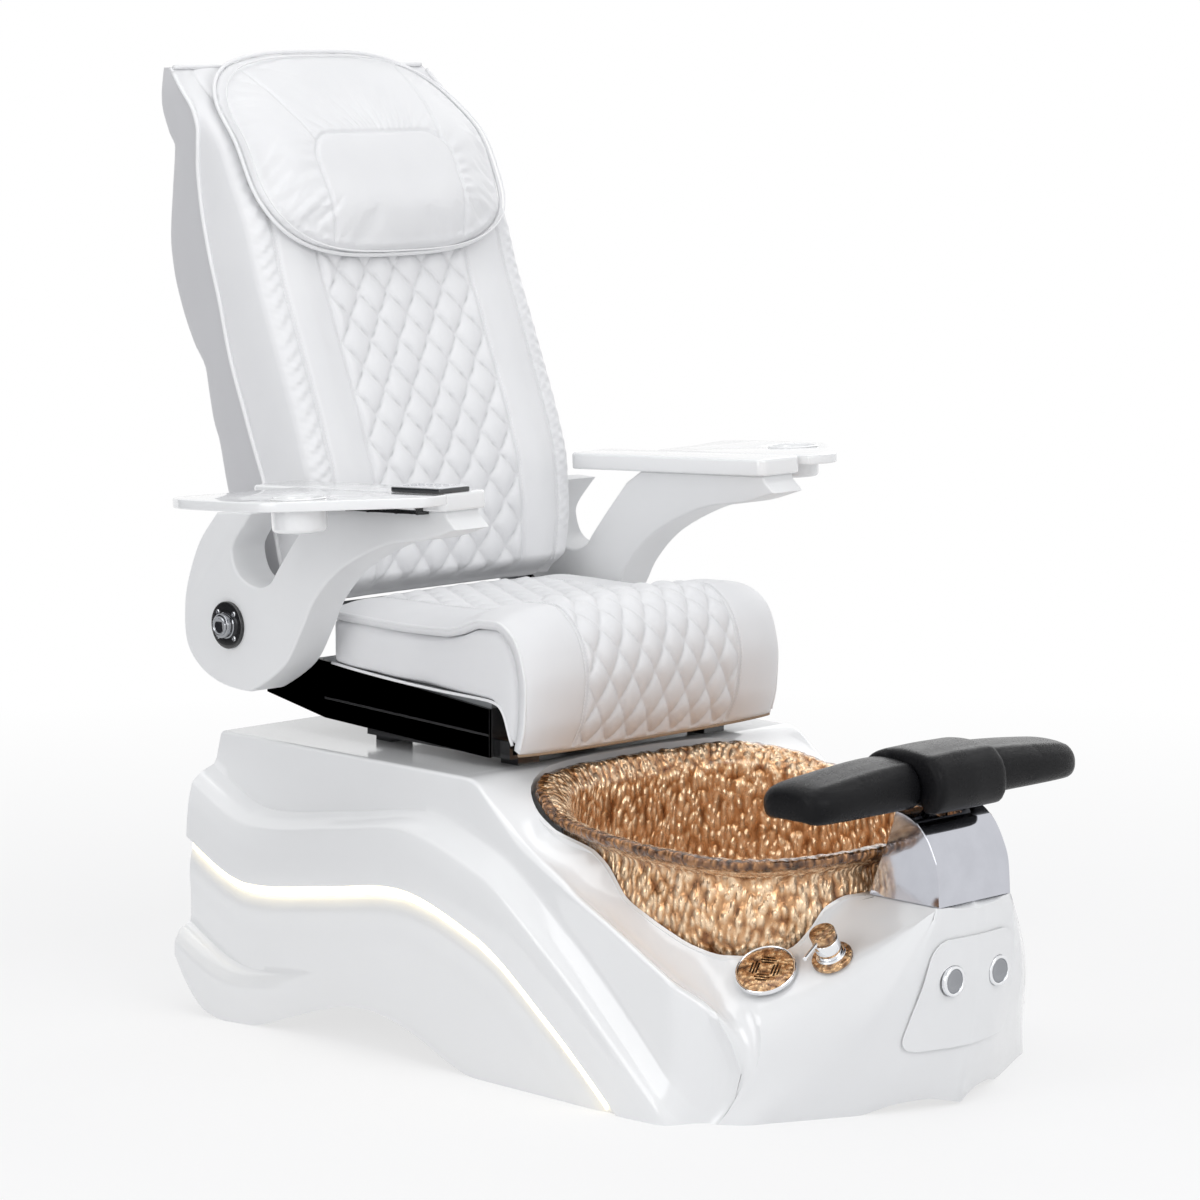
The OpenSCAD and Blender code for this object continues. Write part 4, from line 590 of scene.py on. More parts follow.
def makeBasin():
    n = basin["around"]
    angle = np.arange(n) * 360.0 / n
    turn = np.where(angle > 180, 360 - angle, angle)
    sign = np.where(angle > 180, -1.0, 1.0)
    rad = np.radians(turn)
    rimZ = smoothCurve(rimLine, -basin["y"] + rimRadius(turn, 0) * np.cos(rad))
    rng = np.random.default_rng(7)
    phase = rng.uniform(0, 2 * math.pi, 9)
    wobble = sum(np.sin(np.radians(angle) * k + p) for k, p in zip((7, 13, 19, 29, 41, 53, 67, 83, 97), phase)) / 4
    flute = np.abs(np.sin(np.radians(angle) * basin["flutes"] / 2 + 1.2 * wobble)) ** 0.8
    rows = []
    for kind, out, z in basinRings:
        if kind == "round":
            r = np.full(n, float(out))
        else:
            r = rimRadius(turn, out) if kind == "rim" else bowlRadius(turn, out)
        h = np.full(n, float(z))
        if kind in ("rim", "neck"):
            strength = 1.0 if kind == "rim" else basin["neckFlute"]
            r = r + strength * (basin["fluteDeep"] * (flute - 1) - 1.0 * np.abs(wobble))
            h = rimZ + z + (0.9 * wobble * strength if z > -8 else 0) - (0.8 * (1 - flute) if kind == "rim" else 0)
        rows.append(np.stack([sign * r * np.sin(rad), basin["y"] - r * np.cos(rad), h], -1))
    fine = []
    for i in range(len(rows) - 1):  # a smooth line through the rings
        a, b, c, d = rows[max(0, i - 1)], rows[i], rows[i + 1], rows[min(len(rows) - 1, i + 2)]
        k = 3 if np.abs(c - b).max() > 12 else 2
        cap = np.linalg.norm(c - b, axis=1)[:, None]
        slopes = []
        for run in (0.5 * (c - a), 0.5 * (d - b)):
            slopes.append(run * np.minimum(1, cap / np.maximum(1e-6, np.linalg.norm(run, axis=1)[:, None])))
        fine += [hermite(b, c, slopes[0], slopes[1], t) for t in np.arange(k) / k]
    fine.append(rows[-1])
    faces = gridFaces(len(fine), n, 0, True, True)
    last = (len(fine) - 1) * n
    faces += [(c, last + c, last + (c + 1) % n, (c + 1) % n) for c in range(n)]
    bowl = linkMesh("basinBowl", np.array(fine).reshape(-1, 3), faces, goldGlass, rimGlass)
    mesh = bowl.data
    centres = vectorsOf(mesh.polygons, "center") / mm
    away = np.abs(np.degrees(np.arctan2(centres[:, 0], -(centres[:, 1] - basin["y"]))))
    rimHeight = smoothCurve(rimLine, -basin["y"] + rimRadius(away, 0) * np.cos(np.radians(away)))
    reach = np.hypot(centres[:, 0], centres[:, 1] - basin["y"])
    onRim = (centres[:, 2] > rimHeight - basin["rimDeep"]) & (reach > rimRadius(away, -basin["rimWide"]))
    mesh.polygons.foreach_set("material_index", onRim.astype(int))
    dent = bowl.modifiers.new("dents", "DISPLACE")
    cloud = bpy.data.textures.new("dentCloud", "CLOUDS")
    cloud.noise_scale = basin["dentSize"]
    cloud.noise_depth = 3
    dent.texture = cloud
    dent.texture_coords = "LOCAL"
    dent.strength = basin["dentDeep"]
    dent.mid_level = 0.5
    return cleanUp(applyModifiers(bowl), weld["fine"])


basinBowl = settle(makeBasin(), "base", "bronze_glass", "basin")
print("basin", len(basinBowl.data.polygons))


# shared shapes for the fittings
sideOn = Matrix(((0, 0, 1, 0), (1, 0, 0, 0), (0, 1, 0, 0), (0, 0, 0, 1)))  # lays an outline (y, z) across x


def moved(x, y, z):
    return Matrix.Translation((x, y, z))


def spun(degrees, axis):
    return Matrix.Rotation(math.radians(degrees), 4, axis)


def facing(at, tilt):  # a frame at a point, with its z along tilt
    t = Vector(tilt).normalized()
    turn = Matrix.Rotation(math.atan2(t.y, t.x), 4, "Z") @ Matrix.Rotation(math.acos(t.z), 4, "Y")
    return moved(*at) @ turn


def placed(points, matrix):
    return points if matrix is None else [tuple(matrix @ Vector(p)) for p in points]


def lathe(profile, count):  # profile (radius, height), closed on the axis where the radius is 0
    points = []
    for r, h in profile:
        for i in range(count):
            a = 2 * math.pi * i / count
            points.append((r * math.cos(a), r * math.sin(a), h))
    return points, gridFaces(len(profile), count, 0, False, True)


def turned(name, profile, at, material, sharp=50, count=72):  # a lathed piece at its place
    points, faces = lathe(profile, count)
    return solid(name, (placed(points, at), faces), material, sharp=sharp)


def endFaces(n, total):  # closes the first and the last ring of n points
    return [tuple(range(n))[::-1], tuple(range(total - n, total))]


def stacked(rows, matrix):  # a solid from closed rows of points
    points = placed([p for row in rows for p in row], matrix)
    n = len(rows[0])
    return points, gridFaces(len(rows), n, 0, False, True) + endFaces(n, len(points))


def tube(path, radius, sides, closed=False):  # round bar along a path of points
    path = np.array(path, float)
    step = np.roll(path, -1, 0) - np.roll(path, 1, 0) if closed else np.gradient(path, axis=0)
    step /= np.maximum(1e-9, np.linalg.norm(step, axis=1))[:, None]
    side = np.cross(step[0], (0.3, 0.2, 0.93))
    side /= np.linalg.norm(side)
    radius = np.broadcast_to(np.asarray(radius, float), (len(path),))
    points = []
    for p, t, r in zip(path, step, radius):
        side = side - t * np.dot(side, t)
        side /= np.linalg.norm(side)
        up = np.cross(t, side)
        for k in range(sides):
            a = 2 * math.pi * k / sides
            points.append(p + r * (math.cos(a) * side + math.sin(a) * up))
    faces = gridFaces(len(path), sides, 0, False, True)
    if closed:
        last = (len(path) - 1) * sides
        faces += [(last + k, last + (k + 1) % sides, (k + 1) % sides, k) for k in range(sides)]
    else:
        faces += endFaces(sides, len(points))
    return points, faces


def together(parts):  # joins (points, faces) pairs
    points, faces = [], []
    for p, f in parts:
        n = len(points)
        points += [tuple(q) for q in p]
        faces += [tuple(i + n for i in face) for face in f]
    return points, faces


def capped(rings):  # closed rings joined in a row, with one face at both ends
    rings = np.array(rings, float)
    rows, cols = rings.shape[:2]
    first, last = tuple(range(cols)), tuple(range((rows - 1) * cols, rows * cols))
    return [tuple(p) for p in rings.reshape(-1, 3)], gridFaces(rows, cols, 0, False, True) + [first, last[::-1]]


def bevelled(obj, width, segments, angle):
    mod = obj.modifiers.new("edges", "BEVEL")
    mod.width = width * mm
    mod.segments = segments
    mod.limit_method = "ANGLE"
    mod.angle_limit = math.radians(angle)
    mod.harden_normals = True
    return applyModifiers(obj)


def carve(obj, cutter):
    mod = obj.modifiers.new("carve", "BOOLEAN")
    mod.operation = "DIFFERENCE"
    mod.object = cutter
    mod.solver = "EXACT"
    applyModifiers(obj)
    bpy.data.objects.remove(cutter)
    return obj


def prism(outline, low, high, matrix):  # outline (a, b) carried from low to high along the third axis
    n = len(outline)
    points = [(a, b, low) for a, b in outline] + [(a, b, high) for a, b in outline]
    faces = [(i, (i + 1) % n, n + (i + 1) % n, n + i) for i in range(n)]
    return placed(points, matrix), faces + endFaces(n, 2 * n)


def roundedBox(half, corner, steps=7):  # outline of a square with round corners
    out = []
    for quarter, (sx, sy) in enumerate(((1, 1), (-1, 1), (-1, -1), (1, -1))):
        for i in range(steps + 1):
            a = math.radians(90 * quarter + 90 * i / steps)
            x, y = corner * math.cos(a), corner * math.sin(a)
            out.append((sx * (half[0] - corner) + x, sy * (half[1] - corner) + y))
    return out


def softLine(points, steps):  # smooth line through points
    p = np.array(points, float)
    last = len(p) - 1
    out = []
    for i in range(last):
        a, b, c, d = p[max(0, i - 1)], p[i], p[i + 1], p[min(last, i + 2)]
        for k in range(steps):
            t = k / steps
            out.append(0.5 * (2 * b + (c - a) * t + (2 * a - 5 * b + 4 * c - d) * t * t
                              + (3 * b - a - 3 * c + d) * t ** 3))
    return np.array(out + [p[-1]])


def treeGroup(name, inputs):  # an empty geometry tree with named inputs
    tree = bpy.data.node_groups.new(name, "GeometryNodeTree")
    tree.interface.new_socket("Geometry", in_out="INPUT", socket_type="NodeSocketGeometry")
    tree.interface.new_socket("Geometry", in_out="OUTPUT", socket_type="NodeSocketGeometry")
    for label, kind, value in inputs:
        socket = tree.interface.new_socket(label, in_out="INPUT", socket_type=kind)
        if value is not None:
            socket.default_value = value
    start, end = tree.nodes.new("NodeGroupInput"), tree.nodes.new("NodeGroupOutput")
    return tree, start, end


def treeNode(tree, kind, links, **props):
    node = tree.nodes.new(kind)
    for key, value in props.items():
        setattr(node, key, value)
    for key, value in links.items():
        if isinstance(value, bpy.types.NodeSocket):
            tree.links.new(value, node.inputs[key])
        else:
            node.inputs[key].default_value = value
    return node


def runTree(obj, tree, values):
    mod = obj.modifiers.new("repeat", "NODES")
    mod.node_group = tree
    for item in tree.interface.items_tree:
        if item.in_out == "INPUT" and item.name in values:
            mod[item.identifier] = values[item.name]
    obj.update_tag()
    return applyModifiers(obj)


def seedMesh(name, material):  # one triangle, for a tree that makes its own shapes
    return linkMesh(name, [(0, 0, 0), (1, 0, 0), (0, 1, 0)], [(0, 1, 2)], material)


def endTree(tree, end, shape, material=None):  # makes the instances real and gives them their material
    last = treeNode(tree, "GeometryNodeRealizeInstances", {"Geometry": shape})
    if material is not None:
        last = treeNode(tree, "GeometryNodeSetMaterial", {"Geometry": last.outputs["Geometry"], "Material": material})
    tree.links.new(last.outputs["Geometry"], end.inputs["Geometry"])
    return tree


def stitchTree():
    tree, start, end = treeGroup("stitchRow", [
        ("Spacing", "NodeSocketFloat", 0.005), ("Length", "NodeSocketFloat", 0.0034),
        ("Radius", "NodeSocketFloat", 0.0006), ("Thread", "NodeSocketMaterial", None)])
    given = start.outputs
    curve = treeNode(tree, "GeometryNodeMeshToCurve", {"Mesh": given["Geometry"]})
    line = treeNode(tree, "GeometryNodeResampleCurve", {"Curve": curve.outputs["Curve"], "Length": given["Spacing"]},
                    mode="LENGTH")
    tangent = treeNode(tree, "GeometryNodeInputTangent", {})
    turn = treeNode(tree, "FunctionNodeAlignRotationToVector", {"Vector": tangent.outputs["Tangent"]}, axis="Z")
    bead = treeNode(tree, "GeometryNodeMeshCylinder", {"Vertices": 6, "Radius": given["Radius"],
                                                       "Depth": given["Length"]})
    row = treeNode(tree, "GeometryNodeInstanceOnPoints", {
        "Points": line.outputs["Curve"], "Instance": bead.outputs["Mesh"], "Rotation": turn.outputs["Rotation"]})
    return endTree(tree, end, row.outputs["Instances"], given["Thread"])


stitchRow = stitchTree()


def sewn(name, paths, thread, body, spacing, length, radius):  # one mesh of stitches per body
    points, edges = [], []
    for path in paths:
        n = len(points)
        points += [tuple(c * mm for c in p) for p in path]
        edges += [(n + i, n + i + 1) for i in range(len(path) - 1)]
    obj = rawMesh(name, points, edges, [])
    runTree(obj, stitchRow, {"Spacing": spacing * mm, "Length": length * mm, "Radius": radius * mm, "Thread": thread})
    obj.data.materials.clear()
    obj.data.materials.append(thread)
    return settle(obj, body, "white_leather")


def screwTree():
    tree, start, end = treeGroup("screwCircle", [
        ("Count", "NodeSocketInt", 4), ("Circle", "NodeSocketFloat", 0.027), ("Head", "NodeSocketFloat", 0.0042),
        ("Metal", "NodeSocketMaterial", None)])
    given = start.outputs
    ring = treeNode(tree, "GeometryNodeMeshCircle", {"Vertices": given["Count"], "Radius": given["Circle"]})
    head = treeNode(tree, "GeometryNodeMeshCone", {"Vertices": 20, "Radius Top": 0.0034,
                                                   "Radius Bottom": given["Head"], "Depth": 0.0016})
    socket = treeNode(tree, "GeometryNodeMeshCylinder", {"Vertices": 6, "Radius": 0.0018, "Depth": 0.002})
    lifted = treeNode(tree, "GeometryNodeTransform", {"Geometry": socket.outputs["Mesh"],
                                                      "Translation": (0, 0, 0.0016)})
    cut = treeNode(tree, "GeometryNodeMeshBoolean", {0: head.outputs["Mesh"], 1: lifted.outputs["Geometry"]},
                   operation="DIFFERENCE")
    row = treeNode(tree, "GeometryNodeInstanceOnPoints", {"Points": ring.outputs["Mesh"],
                                                          "Instance": cut.outputs["Mesh"]})
    return endTree(tree, end, row.outputs["Instances"], given["Metal"])


screwCircle = screwTree()


def slotTree():  # four groups of three slots, each group turned by a quarter
    tree, start, end = treeGroup("slotGroups", [
        ("First", "NodeSocketFloat", 0.0115), ("Pitch", "NodeSocketFloat", 0.0046),
        ("Width", "NodeSocketFloat", 0.0028), ("Deep", "NodeSocketFloat", 0.014)])
    given = start.outputs
    joined = tree.nodes.new("GeometryNodeJoinGeometry")
    for quarter in range(4):
        for row, length in enumerate((0.019, 0.024, 0.018)):
            size = treeNode(tree, "ShaderNodeCombineXYZ", {"X": given["Width"], "Y": length, "Z": given["Deep"]})
            bar = treeNode(tree, "GeometryNodeMeshCube", {"Size": size.outputs[0]})
            steps = treeNode(tree, "ShaderNodeMath", {0: given["Pitch"], 1: row}, operation="MULTIPLY")
            out = treeNode(tree, "ShaderNodeMath", {0: given["First"], 1: steps.outputs[0]}, operation="ADD")
            shift = treeNode(tree, "ShaderNodeCombineXYZ", {"X": out.outputs[0]})
            away = treeNode(tree, "GeometryNodeTransform", {"Geometry": bar.outputs["Mesh"],
                                                            "Translation": shift.outputs[0]})
            turn = treeNode(tree, "GeometryNodeTransform", {"Geometry": away.outputs["Geometry"],
                                                            "Rotation": (0, 0, quarter * math.pi / 2)})
            tree.links.new(turn.outputs["Geometry"], joined.inputs[0])
    return endTree(tree, end, joined.outputs[0])


slotGroups = slotTree()

# vent, mixer, buttons and pedestal at the front of the base
bronzeCast = hammeredGlass("bronzeCast", (0.66, 0.42, 0.22), (0.36, 0.19, 0.085), (0.10, 0.045, 0.018), 0.28, 0.8,
                           0.005, (1, 1, 1))
darkGap = satinPaint("gapShade", (0.05, 0.045, 0.04), 0.7)
vent = {"at": (-239.9, -570.4, 208.3), "tilt": (-0.555, -0.215, 0.803), "radius": 45, "wellRadius": 40,
        "slots": {"First": 0.0115, "Pitch": 0.0046, "Width": 0.0028, "Deep": 0.014}, "slotsUp": 0.005}
mixer = {"at": (-182.6, -645.4, 230.1), "tilt": (-0.542, -0.078, 0.837), "footRadius": 30, "radius": 19,
         "lever": 5, "leverFrom": 14, "leverTo": 57, "leverSteps": 14}
button = {"x": 49, "y": -759.3, "z": 194, "radius": 17, "seatBack": 7, "capBack": 3.2, "low": 4.3, "holeGap": 5.6}


def makeVent():
    frameAt = facing(vent["at"], vent["tilt"])
    r, well = vent["radius"], vent["wellRadius"]
    ring = [(r, 0), (r, 4.2), (r - 0.6, 5.4), (r - 1.8, 6), (r - 3, 5.6), (r - 3.7, 4.6), (r - 3.7, 1), (r - 7, 0.6),
            (r - 7, 0), (r, 0)]
    settle(turned("ventRing", ring, frameAt, chrome, 40, 96), "base", "chrome", "vent_ring")
    floor = [(0, 1.0), (well, 1.0), (well, 2.0), (0, 2.0)]
    settle(turned("ventWell", floor, frameAt, darkGap, None, 64), "base", "bronze")
    plate = [(0, 6.4), (12, 6.4), (24, 6.2), (34, 5.8), (38.5, 5.2), (40.6, 4.2), (40.8, 1.6), (0, 1.6)]
    disc = turned("ventGrille", plate, None, bronzeCast, None, 96)
    seed = seedMesh("slotCutter", bronzeCast)
    runTree(seed, slotGroups, vent["slots"])
    seed.data.transform(moved(0, 0, vent["slotsUp"]))
    carve(disc, seed)
    disc.data.transform(Matrix.Scale(mm, 4) @ frameAt @ Matrix.Scale(1 / mm, 4))
    settle(cleanUp(disc, weld["fine"], False, 40), "base", "bronze", "vent_grille")


def makeMixer():
    frameAt = facing(mixer["at"], mixer["tilt"])
    f, r = mixer["footRadius"], mixer["radius"]
    foot = [(0, 0), (f, 0), (f, 4.4), (f - 0.8, 6), (f - 2.6, 7), (0, 7)]
    settle(turned("mixerRosette", foot, frameAt, bronzeCast), "base", "bronze")
    collar = [(0, 6), (21.4, 6.2), (22, 6.8), (22, 9.8), (21.2, 10.8), (20, 11), (12, 11), (12, 25), (0, 25)]
    settle(turned("mixerCollar", collar, frameAt, chrome), "base", "chrome", "mixer_base")
    barrel = [(12.4, 11.3), (r - 1, 11.3), (r, 12.3), (r, 36.2), (r - 1, 37.3), (13, 37.3), (13, 41), (0.5, 41),
              (0.5, 27), (12.4, 27), (12.4, 11.3)]
    settle(turned("mixerBarrel", barrel, frameAt, chrome), "mixer_turn", "chrome", "mixer_body")
    top = [(0, 41.3), (r - 0.8, 41.3), (r, 42.1), (r, 50.6), (r - 0.6, 51.8), (r - 2, 52.3), (0, 52.6)]
    settle(turned("mixerCap", top, frameAt, bronzeCast), "mixer_lever", "bronze")
    a, steps = math.radians(mixer["lever"]), mixer["leverSteps"]
    path = [(out * math.cos(a), out * math.sin(a), 47 + (out - 16) * 7 / 43)
            for out in np.linspace(mixer["leverFrom"], mixer["leverTo"], steps)]
    points, faces = tube(path, [2.6 + 0.8 * (k / (steps - 1)) ** 2 for k in range(steps)], 16)
    lever = bevelled(linkMesh("mixerLever", placed(points, frameAt), faces, chrome), 0.8, 2, 50)
    settle(cleanUp(lever, weld["fine"]), "mixer_lever", "chrome", "mixer_handle")


def makeButtons():
    r, rear, low = button["radius"], button["capBack"], button["low"]
    bezel = [(r + 0.3, 0), (r + 0.3, 5.4), (r + 1.6, 6.8), (r + 3.4, 6.9), (r + 4.6, 6), (r + 5, 4.4), (r + 5, 0),
             (r + 0.3, 0)]
    cup = [(0, rear), (r - 0.4, rear), (r, rear + 0.3), (r, low + 0.6), (r - 0.6, low + 1), (r - 4, low + 1),
           (r - 6.5, low + 0.3), (r - 9.5, low - 0.1), (5, low - 0.3), (0, low - 0.4)]
    for sign, side, nodesHere in ((-1, "Left", ["button_bezels"]), (1, "Right", [])):
        at = moved(sign * button["x"], button["y"] + button["seatBack"], button["z"]) @ spun(90, "X")
        settle(turned("buttonBezel" + side, bezel, at, chrome), "base", "chrome", *nodesHere)
        cap = turned("button" + side, cup, at, darkChrome, 60)
        settle(cap, "push_" + side.lower(), "chrome", "button_" + side.lower())


pedestal = {"half": 77, "edge": 1.6, "hole": (26, 27), "holeRound": 5, "holeAt": (0, -677, 0), "holeZ": (397, 460),
            "cornerPoints": 6}
coverSide = [(-752, 302), (-617, 302), (-638, 356), (-646, 371), (-662, 415), (-666, 429), (-670, 432), (-687, 428),
             (-704, 420), (-723, 403), (-738, 378), (-748, 350)]


def makePedestal():
    plain = coverSide[1:pedestal["cornerPoints"]]
    curved = softLine(coverSide[pedestal["cornerPoints"]:] + [coverSide[0]], 6)
    outline = plain + [tuple(p) for p in curved]
    cover = solid("pedestalCover", prism(outline, -pedestal["half"], pedestal["half"], sideOn), coverChrome)
    bevelled(cover, pedestal["edge"], 3, 40)
    hole = prism(roundedBox(pedestal["hole"], pedestal["holeRound"]), *pedestal["holeZ"], moved(*pedestal["holeAt"]))
    carve(cover, solid("slotHole", hole, chrome))
    settle(cleanUp(cover, weld["fine"], False, 40), "base", "chrome", "pedestal_cover")


panel = {"from": 0.6, "columns": 40, "rows": 34, "proud": 2.1, "foot": 0.03, "top": 0.58, "corner": 26, "lean": 14,
         "thick": 2.4, "edge": 0.7}


def makeFrontPanel():
    half = []
    for v in np.linspace(panel["from"], 1, panel["columns"]):
        p = [curveTrack(line, v) * (-1, 1, 1) for line in frontLines]
        a = math.radians(50 + 40 * v)
        off = np.array([-panel["proud"] * math.cos(a), -panel["proud"] * math.sin(a), 0])
        knots = [mix(p[1], p[2], panel["foot"]), p[2], mix(p[2], p[3], panel["top"])]
        half.append(roundedLine(knots, [0.2], panel["rows"]) + off)
    half = np.array(half)
    grid = np.vstack([half, half[::-1][1:] * (-1, 1, 1)])
    wide, tall = grid.shape[0], grid.shape[1]
    length = runLength(grid[:, tall // 2])[-1]
    height = runLength(grid[wide // 2])[-1]
    corner = panel["corner"]
    out = np.empty_like(grid)
    for j in range(tall):
        up = j / (tall - 1)
        edge = min(up * height, height - up * height)
        cutBack = corner - math.sqrt(max(0, corner ** 2 - (corner - min(edge, corner)) ** 2))
        share = 1 - 2 * (cutBack + panel["lean"] * (1 - up)) / length
        at = (np.linspace(-1, 1, wide) * share + 1) / 2 * (wide - 1)
        for k in range(3):
            out[:, j, k] = np.interp(at, np.arange(wide), grid[:, j, k])
    sheet = linkMesh("frontPanel", out.reshape(-1, 3), gridFaces(wide, tall), whiteGloss)
    bevelled(walled(sheet, panel["thick"]), panel["edge"], 2, 50)
    r = button["radius"] + button["holeGap"]
    for x in (-button["x"], button["x"]):
        at = moved(x, button["y"], button["z"]) @ spun(90, "X")
        carve(sheet, turned("buttonHole", [(0, -30), (r, -30), (r, 30), (0, 30)], at, whiteGloss, None, 64))
    settle(cleanUp(sheet, weld["fine"], True, 40), "base", "white_gloss", "front_panel")


makeVent()
makeMixer()
makeButtons()
makePedestal()
makeFrontPanel()
print("vent, mixer, buttons, pedestal and panel ready")

# leather and thread
whiteLeather = softLeather("whiteLeather", (0.83, 0.832, 0.842), (0.79, 0.793, 0.805), 0.45)
blackLeather = softLeather("blackLeather", (0.008, 0.008, 0.009), (0.005, 0.005, 0.006), 0.26, 700, 0.00016, 0.13)
pipingWhite = softLeather("pipingWhite", (0.87, 0.872, 0.88), (0.83, 0.832, 0.84), 0.4, 1500, 0.00005)
threadWhite = softLeather("threadWhite", (0.90, 0.90, 0.905), (0.84, 0.84, 0.85), 0.6, 2600, 0.00005)
hemBrown = softLeather("hemBrown", (0.42, 0.31, 0.21), (0.30, 0.21, 0.14), 0.6, 1100)
blackLacquer = mouldedGloss("blackLacquer", (0.012, 0.012, 0.013), 0.22, 0.6)

coverIn = [(0, 336, 622), (1, 279, 621), (2, 172, 619), (3, 67, 622), (4, -7, 642), (5, -42, 643), (6, -67, 628),
           (7, -83, 603), (8, -92, 557), (9, -90, 507), (10, -82, 467)]
coverOut = [(0, 336, 634), (1, 279, 633), (2, 172, 631), (3, 67, 634), (4, -7, 654), (5, -44, 655), (6, -79, 638),
            (7, -98, 606), (8, -108, 557), (9, -105, 507), (10, -94, 463)]
coverCrown = [(0, 336, 648), (1, 279, 650), (2, 172, 651), (3, 67, 656), (4, -5, 675), (5, -52, 677), (6, -97, 655),
              (7, -124, 617), (8, -134, 570), (9, -125, 512), (10, -96, 458)]
cushionLow = [(0, 336, 553), (1, 279, 548), (2, 172, 541), (3, 67, 537), (4, 10, 536), (5, -21, 535), (6, -45, 530),
              (7, -58, 515), (8, -64, 500), (9, -70, 484), (10, -76, 472)]
seat = {"half": 270, "quiltHalf": 164, "pitch": 23.4, "rowPitch": 39, "puff": 6.5, "piping": 3.6, "rowStep": 3.1,
        "columnStep": 2.9, "seamDeep": 4.0, "seamWide": 3.2, "sideSwell": 4.0, "looseEdge": 45}
cushionEnd = [(0, 16), (0.8, 12), (3, 8), (8, 4), (16, 1.6), (34, 0.6), (90, 0.5)]  # distance from the end, pull


def diamond(a, b):  # 0 on the seams, 1 in the middle of a diamond
    p, q = (a + b) / 2, (a - b) / 2
    return np.sqrt(np.abs(np.sin(np.pi * p) * np.sin(np.pi * q)) + 1e-9)


def arcOf(knots):  # the knots' parameter and the length along the curve, at close steps
    s = np.linspace(knots[0][0], knots[-1][0], 400)
    return s, runLength(curveTrack(knots, s))


airFrames = 20


def relaxed(obj, hold, pressure, cap, voxel):
    # swells a closed pad with air pressure, keeping the points that hold says where they are
    remesh = obj.modifiers.new("even", "REMESH")
    remesh.mode = "VOXEL"
    remesh.voxel_size = voxel * mm
    remesh.use_smooth_shade = True
    applyModifiers(obj)
    mesh = obj.data
    rest = vectorsOf(mesh.vertices, "co")
    group = obj.vertex_groups.new(name="held")
    for i in np.nonzero(hold(rest / mm))[0]:
        group.add([int(i)], 1.0, "REPLACE")
    cloth = obj.modifiers.new("air", "CLOTH")
    cloth.settings.vertex_group_mass = "held"
    cloth.settings.use_pressure = True
    cloth.settings.uniform_pressure_force = pressure
    cloth.settings.effector_weights.gravity = 0
    cloth.settings.quality = 4
    cloth.settings.tension_stiffness = 12
    cloth.settings.compression_stiffness = 12
    cloth.settings.bending_stiffness = 0.8
    cloth.point_cache.frame_start = 1
    cloth.point_cache.frame_end = airFrames
    for f in range(1, airFrames + 1):
        scene.frame_set(f)
    graph = bpy.context.evaluated_depsgraph_get()
    step = vectorsOf(obj.evaluated_get(graph).data.vertices, "co") - rest
    obj.modifiers.remove(cloth)
    scene.frame_set(1)
    size = np.linalg.norm(step, axis=1)[:, None]
    limit = cap * mm
    step = step * (limit * np.tanh(size / limit) / np.maximum(size, 1e-9))
    mesh.vertices.foreach_set("co", (rest + step).ravel())
    mesh.update()
    fine = obj.modifiers.new("fine", "SUBSURF")
    fine.levels = fine.render_levels = 1
    applyModifiers(obj)
    print("relaxed", obj.name, len(obj.data.vertices), round(float(size.max() / mm), 1))
    return obj


def meshPoints(obj):
    return vectorsOf(obj.data.vertices, "co") / mm


def movePoints(obj, points):
    obj.data.vertices.foreach_set("co", (np.asarray(points) * mm).ravel())
    obj.data.update()


def trimmed(name, bars, body, material):  # round bars joined into one piece of trim
    settle(linkMesh(name, *together(bars), material), body, "white_leather")


def makeSeatCushion():  # the plain foam block below the draped cover
    w = seat["half"] - 2
    upper = curveTrack(coverIn, np.linspace(0, 10, 74))
    lower = curveTrack(cushionLow, np.linspace(0, 10, 46))
    ring = np.vstack([lower, upper[::-1]])
    away = ring - np.array([120, 580])
    ends = [(-w + a, pull) for a, pull in cushionEnd] + [(-60, 0.5)]
    rings = []
    for x, pull in ends + [(-x, pull) for x, pull in ends[::-1]]:
        q = ring - away / np.linalg.norm(away, axis=1)[:, None] * pull
        rings.append(np.column_stack([np.full(len(q), x), q]))
    pad = solid("seatCushion", capped(rings), whiteLeather, weld["padded"])
    relaxed(pad, lambda p: np.abs(p[:, 0]) < w - seat["looseEdge"], 3.0, 3.0, 6)
    settle(pad, "seat", "white_leather", "seat_cushion", pad=0.85)
    edge = []
    for x in (-w + 1, w - 1):
        path = np.column_stack([np.full(40, x), curveTrack(cushionLow, np.linspace(0.05, 9.9, 40))])
        edge.append(tube(path, 2.4, 10))
    trimmed("seatCushionPiping", edge, "seat", pipingWhite)


def coverPoint(x, s):
    a, b = curveTrack(coverOut, s), curveTrack(coverCrown, s)
    w = seat["half"] + 1
    k = np.maximum(0, 1 - (np.abs(x) / w) ** 2.6) ** 0.6
    return a + (b - a) * k[..., None], (b - a) / np.linalg.norm(b - a, axis=-1)[..., None]


